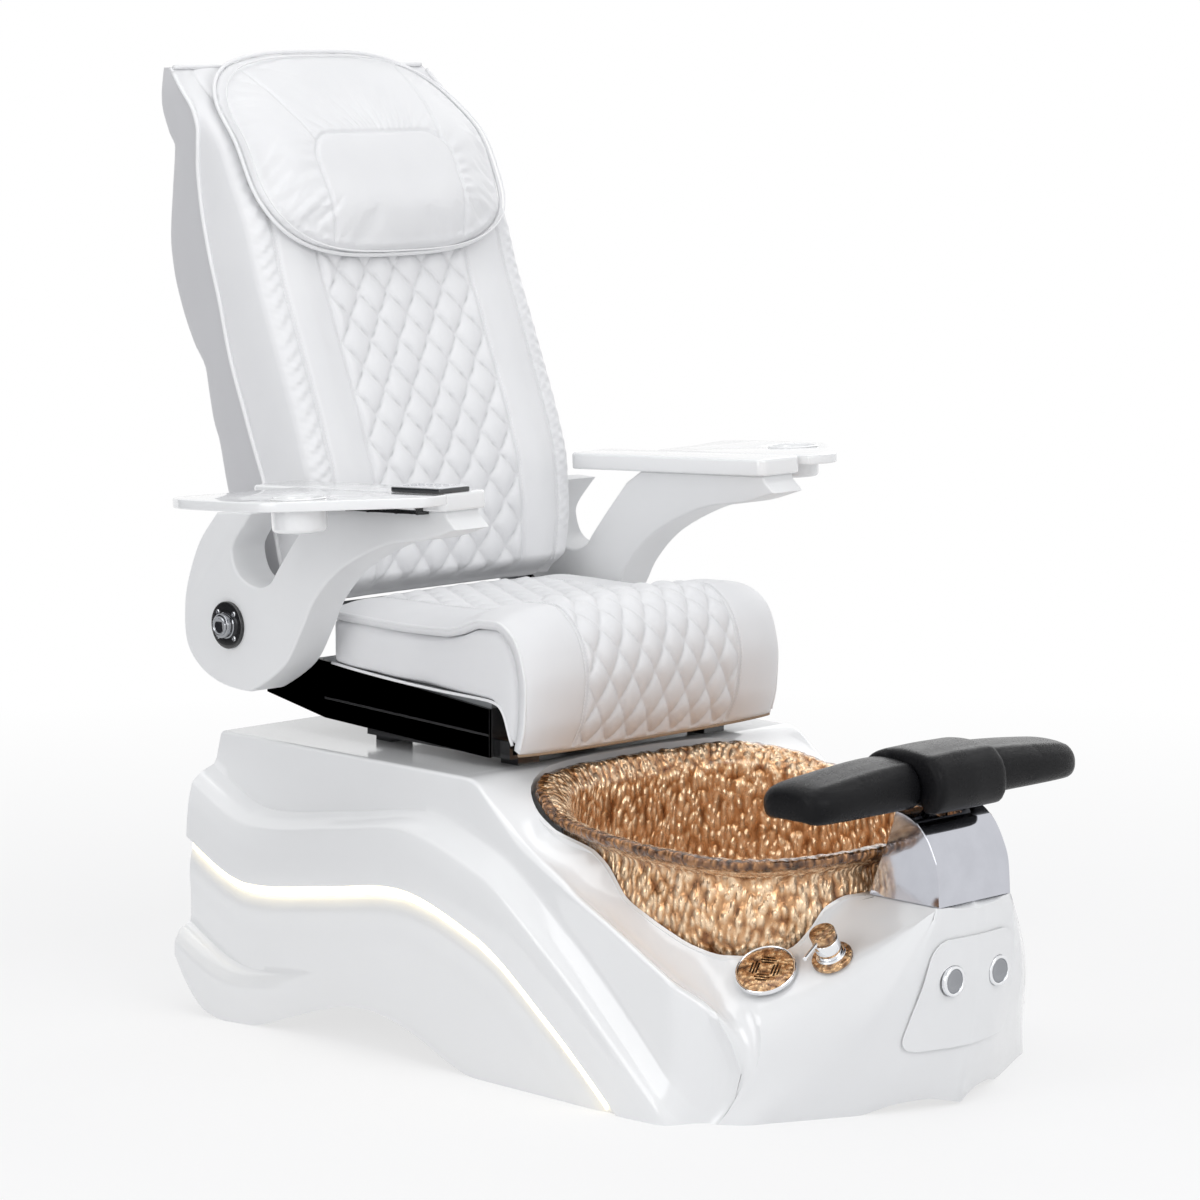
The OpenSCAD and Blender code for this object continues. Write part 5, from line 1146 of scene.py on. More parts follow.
def makeSeatCover():
    w, quiltHalf = seat["half"] + 1, seat["quiltHalf"]
    s, run = arcOf(coverCrown)
    front = run[-1]
    count = int(front / seat["rowStep"])
    arc = np.linspace(0, front, count)
    along = np.interp(arc, run, s)
    xs = np.concatenate([[-w, -w + 0.5, -w + 1.6, -w + 3.4], np.arange(-w + 6, w - 5.9, seat["columnStep"]),
                         [w - 3.4, w - 1.6, w - 0.5, w]])
    xs = (xs - xs[::-1]) / 2
    inside = np.abs(xs) < quiltHalf
    gap = np.abs(np.abs(xs) - quiltHalf)
    side = np.clip((np.abs(xs) - quiltHalf) / (w - quiltHalf), 0, 1)
    xi = np.linspace(-w + 1.5, w - 1.5, 26)
    rings = []
    for i in range(count):
        p, n = coverPoint(xs, np.full(len(xs), along[i]))
        high = diamond(xs / seat["pitch"], (front - arc[i]) / seat["rowPitch"])
        bump = np.where(inside, -5.0 + (seat["puff"] + 3) * high ** 0.8, 0)
        bump = np.where(inside, bump * np.clip((quiltHalf - np.abs(xs)) / 10, 0, 1), bump)
        bump = bump - seat["seamDeep"] * np.exp(-(gap / seat["seamWide"]) ** 2)
        bump = bump + seat["sideSwell"] * np.sin(np.pi * side) ** 0.8 * (side > 0)
        bump = bump * min(1, min(arc[i], front - arc[i]) / 9)
        top = np.column_stack([xs, p + n * bump[:, None]])
        low = curveTrack(coverIn, along[i]) + np.array([0, 0.3])
        rings.append(np.vstack([top, np.column_stack([xi, np.tile(low, (26, 1))])[::-1]]))
    cover = solid("seatCover", capped(rings), whiteLeather, weld["quilted"])
    settle(cover, "seat", "white_leather", "seat_cover", pad=0.7)
    rims, lines = [], []
    for sign in (-1, 1):
        p, _ = coverPoint(np.full(count, sign * w), along)
        path = np.column_stack([np.full(count, sign * (w - 0.6)), p])
        rims.append(tube(path[2:-3], seat["piping"] * 0.5 + 0.7, 12))
    trimmed("seatCoverPiping", rims, "seat", pipingWhite)
    p, _ = coverPoint(xs, np.full(len(xs), 10.0))
    hem = np.column_stack([xs, p + np.array([2.5, -1.5])])
    trimmed("seatCoverHem", [tube(hem[2:-2], 2.9, 10)], "seat", hemBrown)
    for offset, out in ((-3.4, 0.6), (3.4, 1.2)):
        for sign in (-1, 1):
            x = np.full(count, sign * (quiltHalf + offset))
            p, n = coverPoint(x, along)
            lines.append(np.column_stack([x, p + n * out])[4:count - 5])
    sewn("seatCoverStitches", lines, threadWhite, "seat", 6.0, 3.6, 0.6)


carriage = {"half": 266, "wall": 5, "floor": 496, "floorThick": 4.5, "frontY": -24, "rearY": 387}
carriageSide = [(-24, 448), (352, 464), (492, 489), (486, 600), (478, 622), (462, 632), (448, 632), (434, 622),
                (387, 557), (-24, 522)]
carriageLip = [(-23, 482), (-21, 480.5), (352, 494), (352, 497.5), (-21, 484)]


def makeSeatTray():  # black carriage with a folded edge over its side plates
    half, inner = carriage["half"], carriage["half"] - carriage["wall"]
    front, rear, floor = carriage["frontY"], carriage["rearY"], carriage["floor"]
    outline = carriageSide[:3] + [tuple(p) for p in softLine(carriageSide[2:9], 4)[1:]] + [carriageSide[9]]
    top = floor + carriage["floorThick"]
    plates = [prism(outline, -half, -inner, sideOn), prism(outline, inner, half, sideOn),
              prism([(front, floor), (rear, floor), (rear, top), (front, top)], -inner, inner, sideOn),
              prism([(front - 0.2, 449), (-20, 449), (-20, 522), (front - 0.2, 522)], -inner, inner, sideOn)]
    for low in (-half - 0.9, half - 0.1):
        plates.append(prism(carriageLip, low, low + 1, sideOn))
    body = bevelled(solid("seatTray", together(plates), blackLacquer), 0.9, 3, 40)
    settle(cleanUp(body, weld["fine"], False, 50), "seat", "black_metal")


makeSeatCushion()
makeSeatCover()
print("seat ready")

# backrest, drawn against height
backFront = [(640, 353), (730, 346), (828, 355), (892, 374), (1004, 418), (1089, 453), (1144, 476), (1215, 499),
             (1285, 537), (1352, 574), (1411, 634), (1470, 693)]
backEdge = [(640, 441), (700, 448), (800, 470), (919, 517), (1019, 557), (1101, 580), (1187, 608), (1263, 628),
            (1320, 636), (1365, 636), (1395, 646), (1440, 688), (1468, 718)]
backRear = [(640, 531), (700, 547), (816, 580), (882, 595), (912, 608), (958, 619), (995, 627), (1032, 654),
            (1088, 683), (1146, 703), (1202, 711), (1280, 707), (1341, 703), (1364, 718), (1413, 738), (1462, 741)]
backWidth = [(640, -14), (760, -4), (900, 0), (1150, 0), (1300, -4), (1420, -8), (1470, -16)]
back = {"half": 284, "low": 641, "high": 1465, "crown": 18.3, "shell": 4, "shellStart": 1340, "cornerWide": 24,
        "lip": 26, "inset": 1.5, "quiltHalf": 156, "quiltFrom": 655, "quiltTo": 1215, "pitch": 30, "rowPitch": 37.5,
        "ruche": 0.84, "edgeFrom": 0.985, "seamWide": 3.2, "piping": 3.6}


def backHalf(z):
    return back["half"] + smoothCurve(backWidth, z)


def backTip(z):  # how far the padding leans back at the crest
    return 22 * ease((z - 1380) / 90)


def backFoot(z):  # how far the padding runs in at the foot
    return 34 * (1 - ease((z - 640) / 40))


def makeBackShell():
    t, c, bend, lip = back["shell"], back["crown"], back["cornerWide"], back["lip"]
    rings = []
    heights = [np.linspace(back["low"], back["shellStart"], 70), np.linspace(back["shellStart"], back["high"], 24)]
    for z in np.unique(np.concatenate(heights)):
        w = float(backHalf(z)) + 0.2
        e = float(smoothCurve(backEdge, z)) + 0.3
        r = max(float(smoothCurve(backRear, z)), e + 22)
        corner = [(-w, e), (-w, mix(e, r - 16, 0.5)), (-w + 1, r - 16), (-w + 3.4, r - 10), (-w + 8, r - 6),
                  (-w + 14.5, r - 2.4), (-w + bend, r)]
        xs = np.linspace(-w + bend, w - bend, 31)
        arch = [(x, r + c * (1 - (abs(x) / (w - bend)) ** 2.1)) for x in xs[1:-1]]
        outer = corner + arch + [(-x, y) for x, y in corner[::-1]]
        inner = [(x * (1 - t / w), max(y - t, e + t)) for x, y in outer][::-1][1:-1]
        ring = outer + [(w - lip, e), (w - lip, e + t)] + inner + [(-w + lip, e + t), (-w + lip, e)]
        rings.append([(x, y, z) for x, y in ring])
    n, k = len(ring), len(outer)
    faces = gridFaces(len(rings), n, 0, False, True)
    for o, flip in ((0, False), ((len(rings) - 1) * n, True)):
        pair = [(o + i, o + n - 3 - max(0, min(len(inner) - 1, i - 1))) for i in range(k)]
        for (a, b), (c2, d) in zip(pair[:-1], pair[1:]):
            face = (a, c2, b) if b == d else (a, c2, d, b)
            faces.append(face if flip else face[::-1])
        faces += [(o, pair[0][1], o + n - 2, o + n - 1), (o + k - 1, o + k, o + k + 1, pair[-1][1])]
    shell = solid("backShell", (np.array(rings).reshape(-1, 3), faces), shellSatin, weld["thin"], 38)
    settle(shell, "back", "white_satin", "back_shell")


def backProfile(k):  # how far the padding sinks behind its front line, from the middle to the edge
    return smoothCurve([(0, 3), (0.4, 3), (0.535, 2.4), (0.7, -2.6), (0.8, 0.4), (0.85, 4.5), (0.92, 8), (0.97, 15),
                        (1.0, 27)], k)


def cushionHalf(z):
    return backHalf(z) - back["inset"]


def ruffles(z, band, phase):  # the gathered folds of the side bands
    folds = np.sin((z + 34 * band) * 0.27 + phase[0] + 1.3 * np.sin(z * 0.041 + phase[1]))
    return folds + 0.55 * np.sin((z - 20 * band) * 0.47 + phase[2] + 1.7 * np.sin(z * 0.063 + phase[3]))


def cushionRow(z, share, phase):  # one level of the padding's front, from edge to edge
    w, e = float(cushionHalf(z)), float(smoothCurve(backEdge, z))
    quiltHalf, ruche, rim = back["quiltHalf"], back["ruche"], back["edgeFrom"]
    x, k = share * w, np.abs(share)
    y = float(smoothCurve(backFront, z)) + float(backTip(z)) + float(backFoot(z)) + backProfile(k)
    start = ease((z - back["quiltFrom"]) / 12)
    high = diamond(x / back["pitch"], (z - 700) / back["rowPitch"])
    edgeIn = np.clip((quiltHalf - np.abs(x)) / 12, 0, 1)
    puff = np.where(np.abs(x) < quiltHalf, (5.5 - 12.0 * high ** 0.75) * edgeIn, 0)
    y = y + puff * (start * (1 - ease((z - back["quiltTo"]) / 20)))
    gap = np.abs(np.abs(x) - quiltHalf)
    y = y + 4.2 * np.exp(-(gap / back["seamWide"]) ** 2) * start
    seam = np.abs(k - ruche) * w
    y = y + 4.4 * np.exp(-(seam / 3.0) ** 2)
    band = np.clip((k - ruche) / (rim - ruche), 0, 1)
    deep = ease((z - 680) / 60) * (1 - 0.6 * ease((z - 1250) / 120))
    y = y - np.sin(np.pi * band) ** 0.7 * (3.0 + 1.25 * ruffles(z, band, phase) * deep) * (band > 0)
    soft = 1.1 * np.sin(x * 0.021 + z * 0.013 + phase[4]) * np.sin(z * 0.017 + phase[5])
    y = y + soft * np.clip((k - 0.55) / 0.1, 0, 1) * np.clip((ruche - k) / 0.1, 0, 1)
    y = np.where(k > rim, mix(y, e, np.clip((k - rim) / (1 - rim), 0, 1) ** 1.4), y)
    y = np.minimum(y, e - 0.6 * (k < 0.9999))
    xi = np.linspace(-w + 0.6, w - 0.6, 20)
    return np.vstack([np.column_stack([x, y, np.full(len(x), z)]),
                      np.column_stack([xi, np.full(20, e + 0.2), np.full(20, z)])[::-1]])


def makeBackCushion():
    low, high = back["low"], back["high"]
    zs = np.concatenate([np.arange(low, 1250, 3.1), np.arange(1250, high, 4.2), [high]])
    share = np.concatenate([[-1.0, -0.9985, -0.994, -0.987], np.linspace(-0.978, 0.978, 189),
                            [0.987, 0.994, 0.9985, 1.0]])
    rng = np.random.default_rng(11)
    phase = rng.uniform(0, 6.28, 6)
    rings = [cushionRow(z, share, phase) for z in zs]
    cushion = solid("backCushion", capped(rings), whiteLeather, weld["quilted"])
    settle(cushion, "back", "white_leather", "back_cushion", pad=0.75)
    edge = np.arange(low + 6, high - 4, 6.0)
    quilted, banded = np.arange(660, 1200, 5.0), np.arange(670, 1400, 5.0)
    quiltY = smoothCurve(backFront, quilted) + backFoot(quilted) + 2.6
    bandY = smoothCurve(backFront, banded) + backTip(banded) + float(backProfile(back["ruche"])) + 0.2
    rim, seams = [], []
    for sign in (-1, 1):
        path = np.column_stack([sign * (cushionHalf(edge) + 0.6), smoothCurve(backEdge, edge) - 3.0, edge])
        rim.append(tube(path, back["piping"], 12))
        for shift, out in ((-3.6, 1.4), (3.6, 0.9)):
            x = np.full(len(quilted), sign * (back["quiltHalf"] + shift))
            seams.append(np.column_stack([x, quiltY + out, quilted]))
            seams.append(np.column_stack([sign * (cushionHalf(banded) * back["ruche"] + shift), bandY, banded]))
    top = np.linspace(-1, 1, 60) * (float(backHalf(high)) - 6)
    crestY = np.full(60, float(smoothCurve(backEdge, high)) - 5)
    rim.append(tube(np.column_stack([top, crestY, np.full(60, high + 0.5)]), 3.4, 12))
    trimmed("backPiping", rim, "back", pipingWhite)
    sewn("backStitches", seams, threadWhite, "back", 6.4, 4.0, 0.6)


pillow = {"half": 262, "low": 1170, "mid": 1322.0, "high": 1488, "panelHigh": 1364, "panelHalf": 144,
          "panelRound": 45, "crown": 44, "shrink": 0.985, "around": 220, "pressure": 4.0}
pillowLevels = [(0.0, 0.0), (0.12, 0), (0.3, 0), (0.5, 0), (0.68, 0), (0.82, 0), (0.92, 0), (0.97, 0.5), (0.99, 2.5),
                (1.0, 6), (1.0, 11), (0.992, 17), (0.975, 23), (0.945, 30)]  # share of the outline, depth


def pillowBack(z):
    return smoothCurve(backFront, np.minimum(z, 1470)) - 3.7 + np.maximum(0, z - 1470) * 0.4


def outlinePoint(angle, grow=0.0):  # the pillow's outline seen from the front
    mid = pillow["mid"]
    s, c = np.sin(angle), np.cos(angle)
    rx = pillow["half"] + grow
    low, high = mid - pillow["low"] + grow, pillow["high"] - mid + grow
    rz = np.where(s < 0, low, high)
    n = np.where(s < 0, 3.0, 3.1)
    r = 1 / ((np.abs(c) / rx) ** n + (np.abs(s) / rz) ** n) ** (1 / n)
    return r * c, mid + r * s


def lineGap(x, z, path):  # how far each point lies from a drawn line
    best = np.full(x.shape, 1e9)
    for (ax, az), (bx, bz) in zip(path, path[1:]):
        dx, dz = bx - ax, bz - az
        t = np.clip(((x - ax) * dx + (z - az) * dz) / (dx * dx + dz * dz), 0, 1)
        best = np.minimum(best, np.hypot(x - ax - t * dx, z - az - t * dz))
    return best


def pillowSeams(x, z):  # depth of the seams and the fine pulled creases beside them
    half, top, bend = pillow["panelHalf"], pillow["panelHigh"], pillow["panelRound"]
    turn = np.linspace(0, math.pi / 2, 9)
    panel = [(half - 8, pillow["low"]), (half - 3, 1260), (half, top - bend)]
    panel += [(half - bend + bend * math.cos(a), top - bend + bend * math.sin(a)) for a in turn[1:]]
    panel.append((0, top))
    side = np.abs(x)
    gap = lineGap(side, z, panel)
    corner = (half - bend * 0.29, top - bend * 0.29)
    strip = lineGap(side, z, [corner, (165, 1465)])
    deep = 4.4 * np.exp(-(gap / 3.0) ** 2) + 3.6 * np.exp(-(strip / 2.8) ** 2)
    outside = (z > top) | (side > half)  # only the cover around the panel is pulled
    angle = np.arctan2(z - 1290, x)
    pulled = np.sin(angle * 52 + 2.2 * np.sin(angle * 7)) * np.exp(-((gap - 14) / 12) ** 2) * (z > 1250)
    pulled = pulled + 0.7 * np.sin(angle * 33 + 1.0) * np.exp(-((gap - 40) / 26) ** 2) * (z > 1200)
    return deep + 1.2 * pulled * outside


def makePillow():
    mid, shrink = pillow["mid"], pillow["shrink"]
    rings = []
    angles = np.linspace(0, 2 * math.pi, pillow["around"], endpoint=False)
    for share, depth in pillowLevels + [(f, None) for f in np.linspace(0.9, 0.02, 44)]:
        ox, oz = outlinePoint(angles)
        scale = max(share, 0.004)
        z = mid + (oz - mid) * scale
        if depth is None:
            depth = 8 + pillow["crown"] * (1 - share ** 3.2) ** 0.62
        rings.append(np.column_stack([ox * scale, pillowBack(z) - depth, z]))
    pad = solid("headPillow", capped(rings), whiteLeather, weld["padded"])
    p = meshPoints(pad)
    movePoints(pad, np.column_stack([p[:, 0] * shrink, p[:, 1] + 1.5, mid + (p[:, 2] - mid) * shrink]))
    relaxed(pad, lambda q: q[:, 1] > pillowBack(q[:, 2]) - 7, pillow["pressure"], 9.0, 5)
    p = meshPoints(pad)
    rear = pillowBack(p[:, 2])
    front = np.clip((rear - p[:, 1] - 12) / 12, 0, 1)
    inwards = np.array([0, 0.86, -0.51])
    p = p + inwards * (pillowSeams(p[:, 0], p[:, 2]) * front)[:, None]
    p[:, 1] = np.minimum(p[:, 1], pillowBack(p[:, 2]) + 0.8)
    movePoints(pad, p)
    smoothShaded(pad.data)
    settle(pad, "back", "white_leather", "head_pillow", pad=0.8)
    rim = []
    for grow, depth, r in ((0.6, 9, 3.1), (-6, 28, 1.3)):
        ox, oz = outlinePoint(np.linspace(0, 2 * math.pi, 240, endpoint=False), grow)
        rim.append(tube(np.column_stack([ox * 0.997, pillowBack(oz) - depth, oz]), r, 10, True))
    trimmed("pillowPiping", rim, "back", pipingWhite)


shellSatin = satinPaint("shellSatin", (0.62, 0.62, 0.635), 0.36)
makeBackShell()
makeBackCushion()
makePillow()
print("backrest and pillow ready")

# armrests and trays; everything on the arm sits in the sloping frame of its pad
armLine = [(-77, 829), (-68, 804), (1, 783), (90, 767), (193, 720), (252, 668), (283, 619), (324, 560), (392, 517),
           (421, 510), (482, 516), (531, 537), (562, 573), (566, 630), (555, 677), (527, 735), (484, 783)]
armBack = [(440, 789), (400, 788), (441, 743), (446, 719), (430, 689), (389, 675), (358, 684), (338, 708), (304, 748),
           (262, 795)]
arm = {"slope": 2.8, "origin": (0, 166.5, 846.5), "inner": 303, "outer": 372, "padT": 27, "padHalf": (46, 218.5),
       "padMid": 338, "corner": 14, "pivot": (455, 610), "edge": 4.5}
tray = {"thick": 15, "rim": 2.2, "cup": (528, -66), "cupR": 41, "cupWall": 4, "cupDeep": 34, "fold": (392, -19),
        "knuckles": (-170, -60, 50), "knuckle": (3.3, 5.8, 40)}
onArm = moved(*arm["origin"]) @ spun(-arm["slope"], "X")


def underPad(y):
    a = math.radians(arm["slope"])
    return arm["origin"][2] - (y - arm["origin"][1]) * math.tan(a) - arm["padT"] / math.cos(a)


def inset(outline, by):  # moves a closed outline inwards; it runs either way round
    p = np.array(outline, float)
    nxt, prv = np.roll(p, -1, 0), np.roll(p, 1, 0)
    area = np.sum(p[:, 0] * nxt[:, 1] - nxt[:, 0] * p[:, 1])
    side = 1 if area > 0 else -1
    a, b = p - prv, nxt - p
    a /= np.maximum(1e-9, np.linalg.norm(a, axis=1))[:, None]
    b /= np.maximum(1e-9, np.linalg.norm(b, axis=1))[:, None]
    na, nb = np.stack([-a[:, 1], a[:, 0]], -1), np.stack([-b[:, 1], b[:, 0]], -1)
    m = na + nb
    m /= np.maximum(1e-9, np.linalg.norm(m, axis=1))[:, None]
    grow = np.minimum(1.6, 1 / np.maximum(0.3, np.sum(m * na, axis=1)))
    return p + m * (grow * by * side)[:, None]


def roundSlab(outline, low, high, edge, steps, matrix):  # a plate whose rims are rounded
    bends = []
    for i in range(steps + 1):
        a = math.pi / 2 * i / steps
        bends.append((edge * (1 - math.sin(a)), edge * (1 - math.cos(a))))
    rows = [[(x, y, low + rise) for x, y in inset(outline, cut)] for cut, rise in bends]
    rows += [[(x, y, high - rise) for x, y in inset(outline, cut)] for cut, rise in bends[::-1]]
    return stacked(rows, matrix)


def makeArmPanel():
    front = [(-44, underPad(-44)), (-47, 822)] + [tuple(p) for p in softLine(armLine[1:], 5)]
    rear = [tuple(p) for p in softLine(armBack[1:], 5)] + [(228, underPad(228))]
    outline = front + [armBack[0]] + rear
    keep = [outline[0]]
    for p in outline[1:]:
        if math.dist(p, keep[-1]) > 1.5:
            keep.append(p)
    slab = roundSlab(keep, arm["inner"], arm["outer"], arm["edge"], 4, sideOn)
    return solid("armPanelRight", slab, whiteSatin, sharp=50)


padRims = [(3.4, -27), (1.4, -26.4), (0.3, -25), (0, -23), (0, -5.5), (0.4, -3.4), (1.4, -1.5), (3, -0.5), (5.5, 0)]


def makeArmPad():
    out = roundedBox(arm["padHalf"], arm["corner"], 8)
    rows = [[(x + arm["padMid"], y, z) for x, y in inset(out, cut)] for cut, z in padRims]
    return solid("armPadRight", stacked(rows, onArm), padGloss, sharp=50)


remote = {"at": (-355, -161, 0.2), "half": (30, 56), "corner": 5, "thick": 6.6, "faceTop": 8.5, "keyColumns": 3,
          "keyRows": 5, "keyFrom": (-15, -36), "keyPitch": (15, 18)}
keyProfile = [(0, 8.3), (4.6, 8.3), (4.6, 8.62), (4.2, 8.7), (0, 8.7)]


def makeRemote():
    glass = mouldedGloss("remoteGlass", (0.80, 0.81, 0.83), 0.05, 1.0)
    edge = mouldedGloss("remoteEdge", (0.02, 0.022, 0.025), 0.12, 0.8)
    keys = mouldedGloss("remoteKeys", (0.62, 0.63, 0.66), 0.2, 0.4)
    at = onArm @ moved(*remote["at"])
    (a, b), corner, thick = remote["half"], remote["corner"], remote["thick"]
    body = roundSlab(roundedBox((a, b), corner, 6), 0, thick, 1.0, 3, at)
    settle(solid("remoteBody", body, edge, sharp=50), "arm_left", "glass_black", "touch_remote")
    face = roundSlab(roundedBox((a - 1, b - 1), corner - 0.6, 6), thick - 0.1, remote["faceTop"], 0.7, 3, at)
    settle(solid("remoteFace", face, glass, sharp=50), "arm_left", "glass_black")
    (x, y), (stepX, stepY) = remote["keyFrom"], remote["keyPitch"]
    parts = []
    for row in range(remote["keyRows"]):
        for column in range(remote["keyColumns"]):
            key, keyFaces = lathe(keyProfile, 24)
            parts.append((placed(key, at @ moved(x + stepX * column, y + stepY * row, 0)), keyFaces))
    settle(solid("remoteKeypad", together(parts), keys, weld["fine"], 50), "arm_left", "glass_black")


def trayPlan():
    curved = softLine([(425, -243), (452, -232), (520, -162), (577, -105), (600, -70), (611, -20), (614, 40),
                       (613, 104), (598, 140), (564, 146), (490, 124), (405, 111)], 5)
    return [(386, 106), (386, -228), (388, -233.5), (393, -236.5)] + [tuple(p) for p in curved]


def makeTray():
    thick, rr, w = tray["thick"], tray["cupR"], tray["cupWall"]
    plate = solid("trayRight", roundSlab(trayPlan(), -thick, 0, tray["rim"], 4, onArm), padGloss, sharp=50)
    atCup = onArm @ moved(*tray["cup"], 0)
    r = rr - w
    hole = [(0, -30), (r, -30), (r, -3), (r + 0.5, -1.6), (r + 1.8, -0.4), (r + 3.6, 0.4), (r + 3.6, 20), (0, 20)]
    carve(plate, turned("cupHole", hole, atCup, padGloss, None, 96))
    cleanUp(plate, weld["fine"], False, 50)
    bore, outside, length = tray["knuckle"]
    knuckles = []
    for y in tray["knuckles"]:
        p, f = lathe([(bore, 0), (outside, 0), (outside, length), (bore, length), (bore, 0)], 32)
        knuckles.append((placed(p, onArm @ (moved(tray["fold"][0], y, tray["fold"][1]) @ spun(-90, "X"))), f))
    barrels = solid("trayBarrelsRight", together(knuckles), padGloss, sharp=50)
    low = -thick - tray["cupDeep"]
    bowl = [(0, low), (rr - 6, low), (rr - 3, low + 1), (rr - 0.8, low + 3.6), (rr, low + 7), (rr, -thick),
            (r, -thick), (r, low + 8), (r - 1.2, low + 5), (r - 4, low + 3.3), (0, low + 3)]
    lip = [(36.6, -14), (36.6, 1.4), (37.4, 2.2), (40.2, 2.2), (41.4, 1.3), (41.6, 0.05), (38.5, 0.05), (37.4, -1.2),
           (37, -3), (37, -14), (36.6, -14)]
    return (plate, barrels, turned("cupRight", bowl, atCup, padGloss, 50, 96),
            turned("cupRimRight", lip, atCup, padGloss, 50, 96))


hub = {"at": 372.3, "flange": 37, "knob": 19, "pinR": 13.8, "pinFrom": 237.5, "screwsUp": 6.6,
       "screws": {"Count": 4, "Circle": 0.027, "Head": 0.0042}}


def makeHub():
    at = moved(0, *arm["pivot"]) @ spun(90, "Y")
    x, f, r = hub["at"], hub["flange"], hub["knob"]
    plate = [(0, x), (f, x), (f, x + 4.6), (f - 0.6, x + 5.6), (f - 2, x + 6), (20, x + 6), (0, x + 6)]
    flange = turned("hubFlangeRight", plate, at, blackLacquer, 50, 96)
    grip = [(0, x + 5), (r + 1.6, x + 5), (r + 1.6, x + 7.2), (r, x + 8), (r, x + 16.6), (r - 1, x + 18),
            (15.4, x + 18.4), (15, x + 21), (14, x + 21.8), (12.4, x + 21.4), (11.6, x + 19.8), (10.6, x + 19.4),
            (0, x + 19.4)]
    knob = turned("hubKnobRight", grip, at, darkChrome, 50, 96)
    shaft = [(0, hub["pinFrom"]), (hub["pinR"], hub["pinFrom"]), (hub["pinR"], x + 2), (0, x + 2)]
    pin = turned("hubPinRight", shaft, at, steelBright, 50, 48)
    seed = seedMesh("hubScrewsRight", steelBright)
    runTree(seed, screwCircle, {**hub["screws"], "Metal": steelBright})
    seed.data.materials.clear()
    seed.data.materials.append(steelBright)
    y, z = arm["pivot"]
    seed.data.transform(moved(0, y * mm, z * mm) @ spun(90, "Y") @ spun(45, "Z"))
    seed.data.transform(moved((x + hub["screwsUp"]) * mm, 0, 0))
    return flange, knob, pin, seed


steelBright = machinedSteel("steelBright", (0.62, 0.63, 0.65), 0.25)


def bothSides(right, body, slot, *replaced, pad=None):  # a piece on the right, and its mirror image on the left
    left = mirrored(right, right.name.replace("Right", "Left"))
    settle(right, body, slot, *replaced, pad=pad)
    others = [node.replace("right", "left") for node in replaced if "right" in node]
    settle(left, body.replace("right", "left"), slot, *others, pad=pad)


plate, barrels, cup, cupRim = makeTray()
flange, knob, pin, screws = makeHub()
armPanel, armPad = makeArmPanel(), makeArmPad()
bothSides(armPanel, "arm_right", "white_satin", "arm_panel_right")
bothSides(armPad, "arm_right", "white_gloss", "arm_pad_right")
bothSides(plate, "side_tray_right", "white_gloss", "tray_right")
bothSides(barrels, "side_tray_right", "white_gloss")
bothSides(cup, "side_tray_right", "white_gloss", "cup_right")
bothSides(cupRim, "side_tray_right", "white_gloss")
bothSides(flange, "seat", "black_metal", "pivot_hubs")
bothSides(knob, "seat", "chrome")
bothSides(pin, "seat", "steel")
bothSides(screws, "seat", "steel")
makeRemote()
makeSeatTray()
print("arms, trays and hubs ready")

# footrest pads: three moulded pads on one bracket
rest = {"under": 446, "holdBelow": 449, "holdTo": 80, "ridgeFrom": 478}
middlePad = {"knots": [(-74, 0.9), (-72, 0.955), (-68, 0.985), (-60, 1), (-30, 1.01), (0, 1.02), (30, 1.01), (60, 1),
                       (68, 0.985), (72, 0.955), (74, 0.9)],  # place across the chair, share of the full section
             "front": -750, "rear": -590, "low": 432, "high": 519, "drop": 0, "ridge": (-722, 9, 2.4)}
sidePad = {"knots": [(75, 0.93), (77, 0.97), (81, 1), (115, 1.01), (165, 1.01), (215, 1), (247, 0.97), (267, 0.9),
                     (279, 0.78), (285, 0.62), (287, 0.45)],
           "front": -717, "rear": -585, "low": 439, "high": 507, "drop": 12, "ridge": (-694, 8, 2.0)}
padSection = [(-0.52, None), (-0.56, 0), (-0.82, 0.02), (-0.97, 0.2), (-1, 0.45), (-0.9, 0.74), (-0.62, 0.93),
              (-0.15, 1), (0.3, 0.98), (0.72, 0.86), (0.94, 0.62), (1, 0.35), (0.88, 0.06), (0.56, 0), (0.52, None)]


def padRing(x, spec, high, k):
    y0, y1, low = spec["front"], spec["rear"], spec["low"]
    m, d, h = (y0 + y1) / 2, (y1 - y0) / 2, high - low
    c = low + h * 0.45
    coarse = []
    for q, rise in padSection:
        r = (rest["under"] - low) / h * float(ease((k - 0.78) / 0.12)) if rise is None else rise
        y, z = m + d * q * k, low + h * r
        coarse.append((y, c + (z - c) * k if z > c else c - (c - z) * min(1, k + 0.15)))
    line = [coarse[0]] + [tuple(p) for p in softLine(coarse[1:-1], 5)] + [coarse[-1]]
    (ay, az), (by, bz) = coarse[-1], coarse[0]
    under = [(mix(ay, by, t), mix(az, bz, t)) for t in np.linspace(0, 1, 6)[1:-1]]
    return [(x, y, z) for y, z in line + under]


def makeRestPad(name, spec):
    knots = spec["knots"]
    start, end = knots[0][0], knots[-1][0]
    rings = []
    for x in np.unique(np.concatenate([np.linspace(start, end, 64), [k[0] for k in knots]])):
        high = spec["high"] - spec["drop"] * float(ease((x - start) / (end - start)))
        rings.append(padRing(x, spec, high, float(smoothCurve(knots, x))))
    pad = solid(name, capped(rings), blackLeather, weld["padded"])
    relaxed(pad, lambda p: (p[:, 2] < rest["holdBelow"]) | ((p[:, 0] < rest["holdTo"]) & (start > 0)), 3.0, 3.0, 5)
    lineY, width, height = spec["ridge"]  # a moulded ridge along the top front edge
    p = meshPoints(pad)
    p[:, 2] += height * np.exp(-((p[:, 1] - lineY) / width) ** 2) * np.clip((p[:, 2] - rest["ridgeFrom"]) / 14, 0, 1)
    movePoints(pad, p)
    return pad


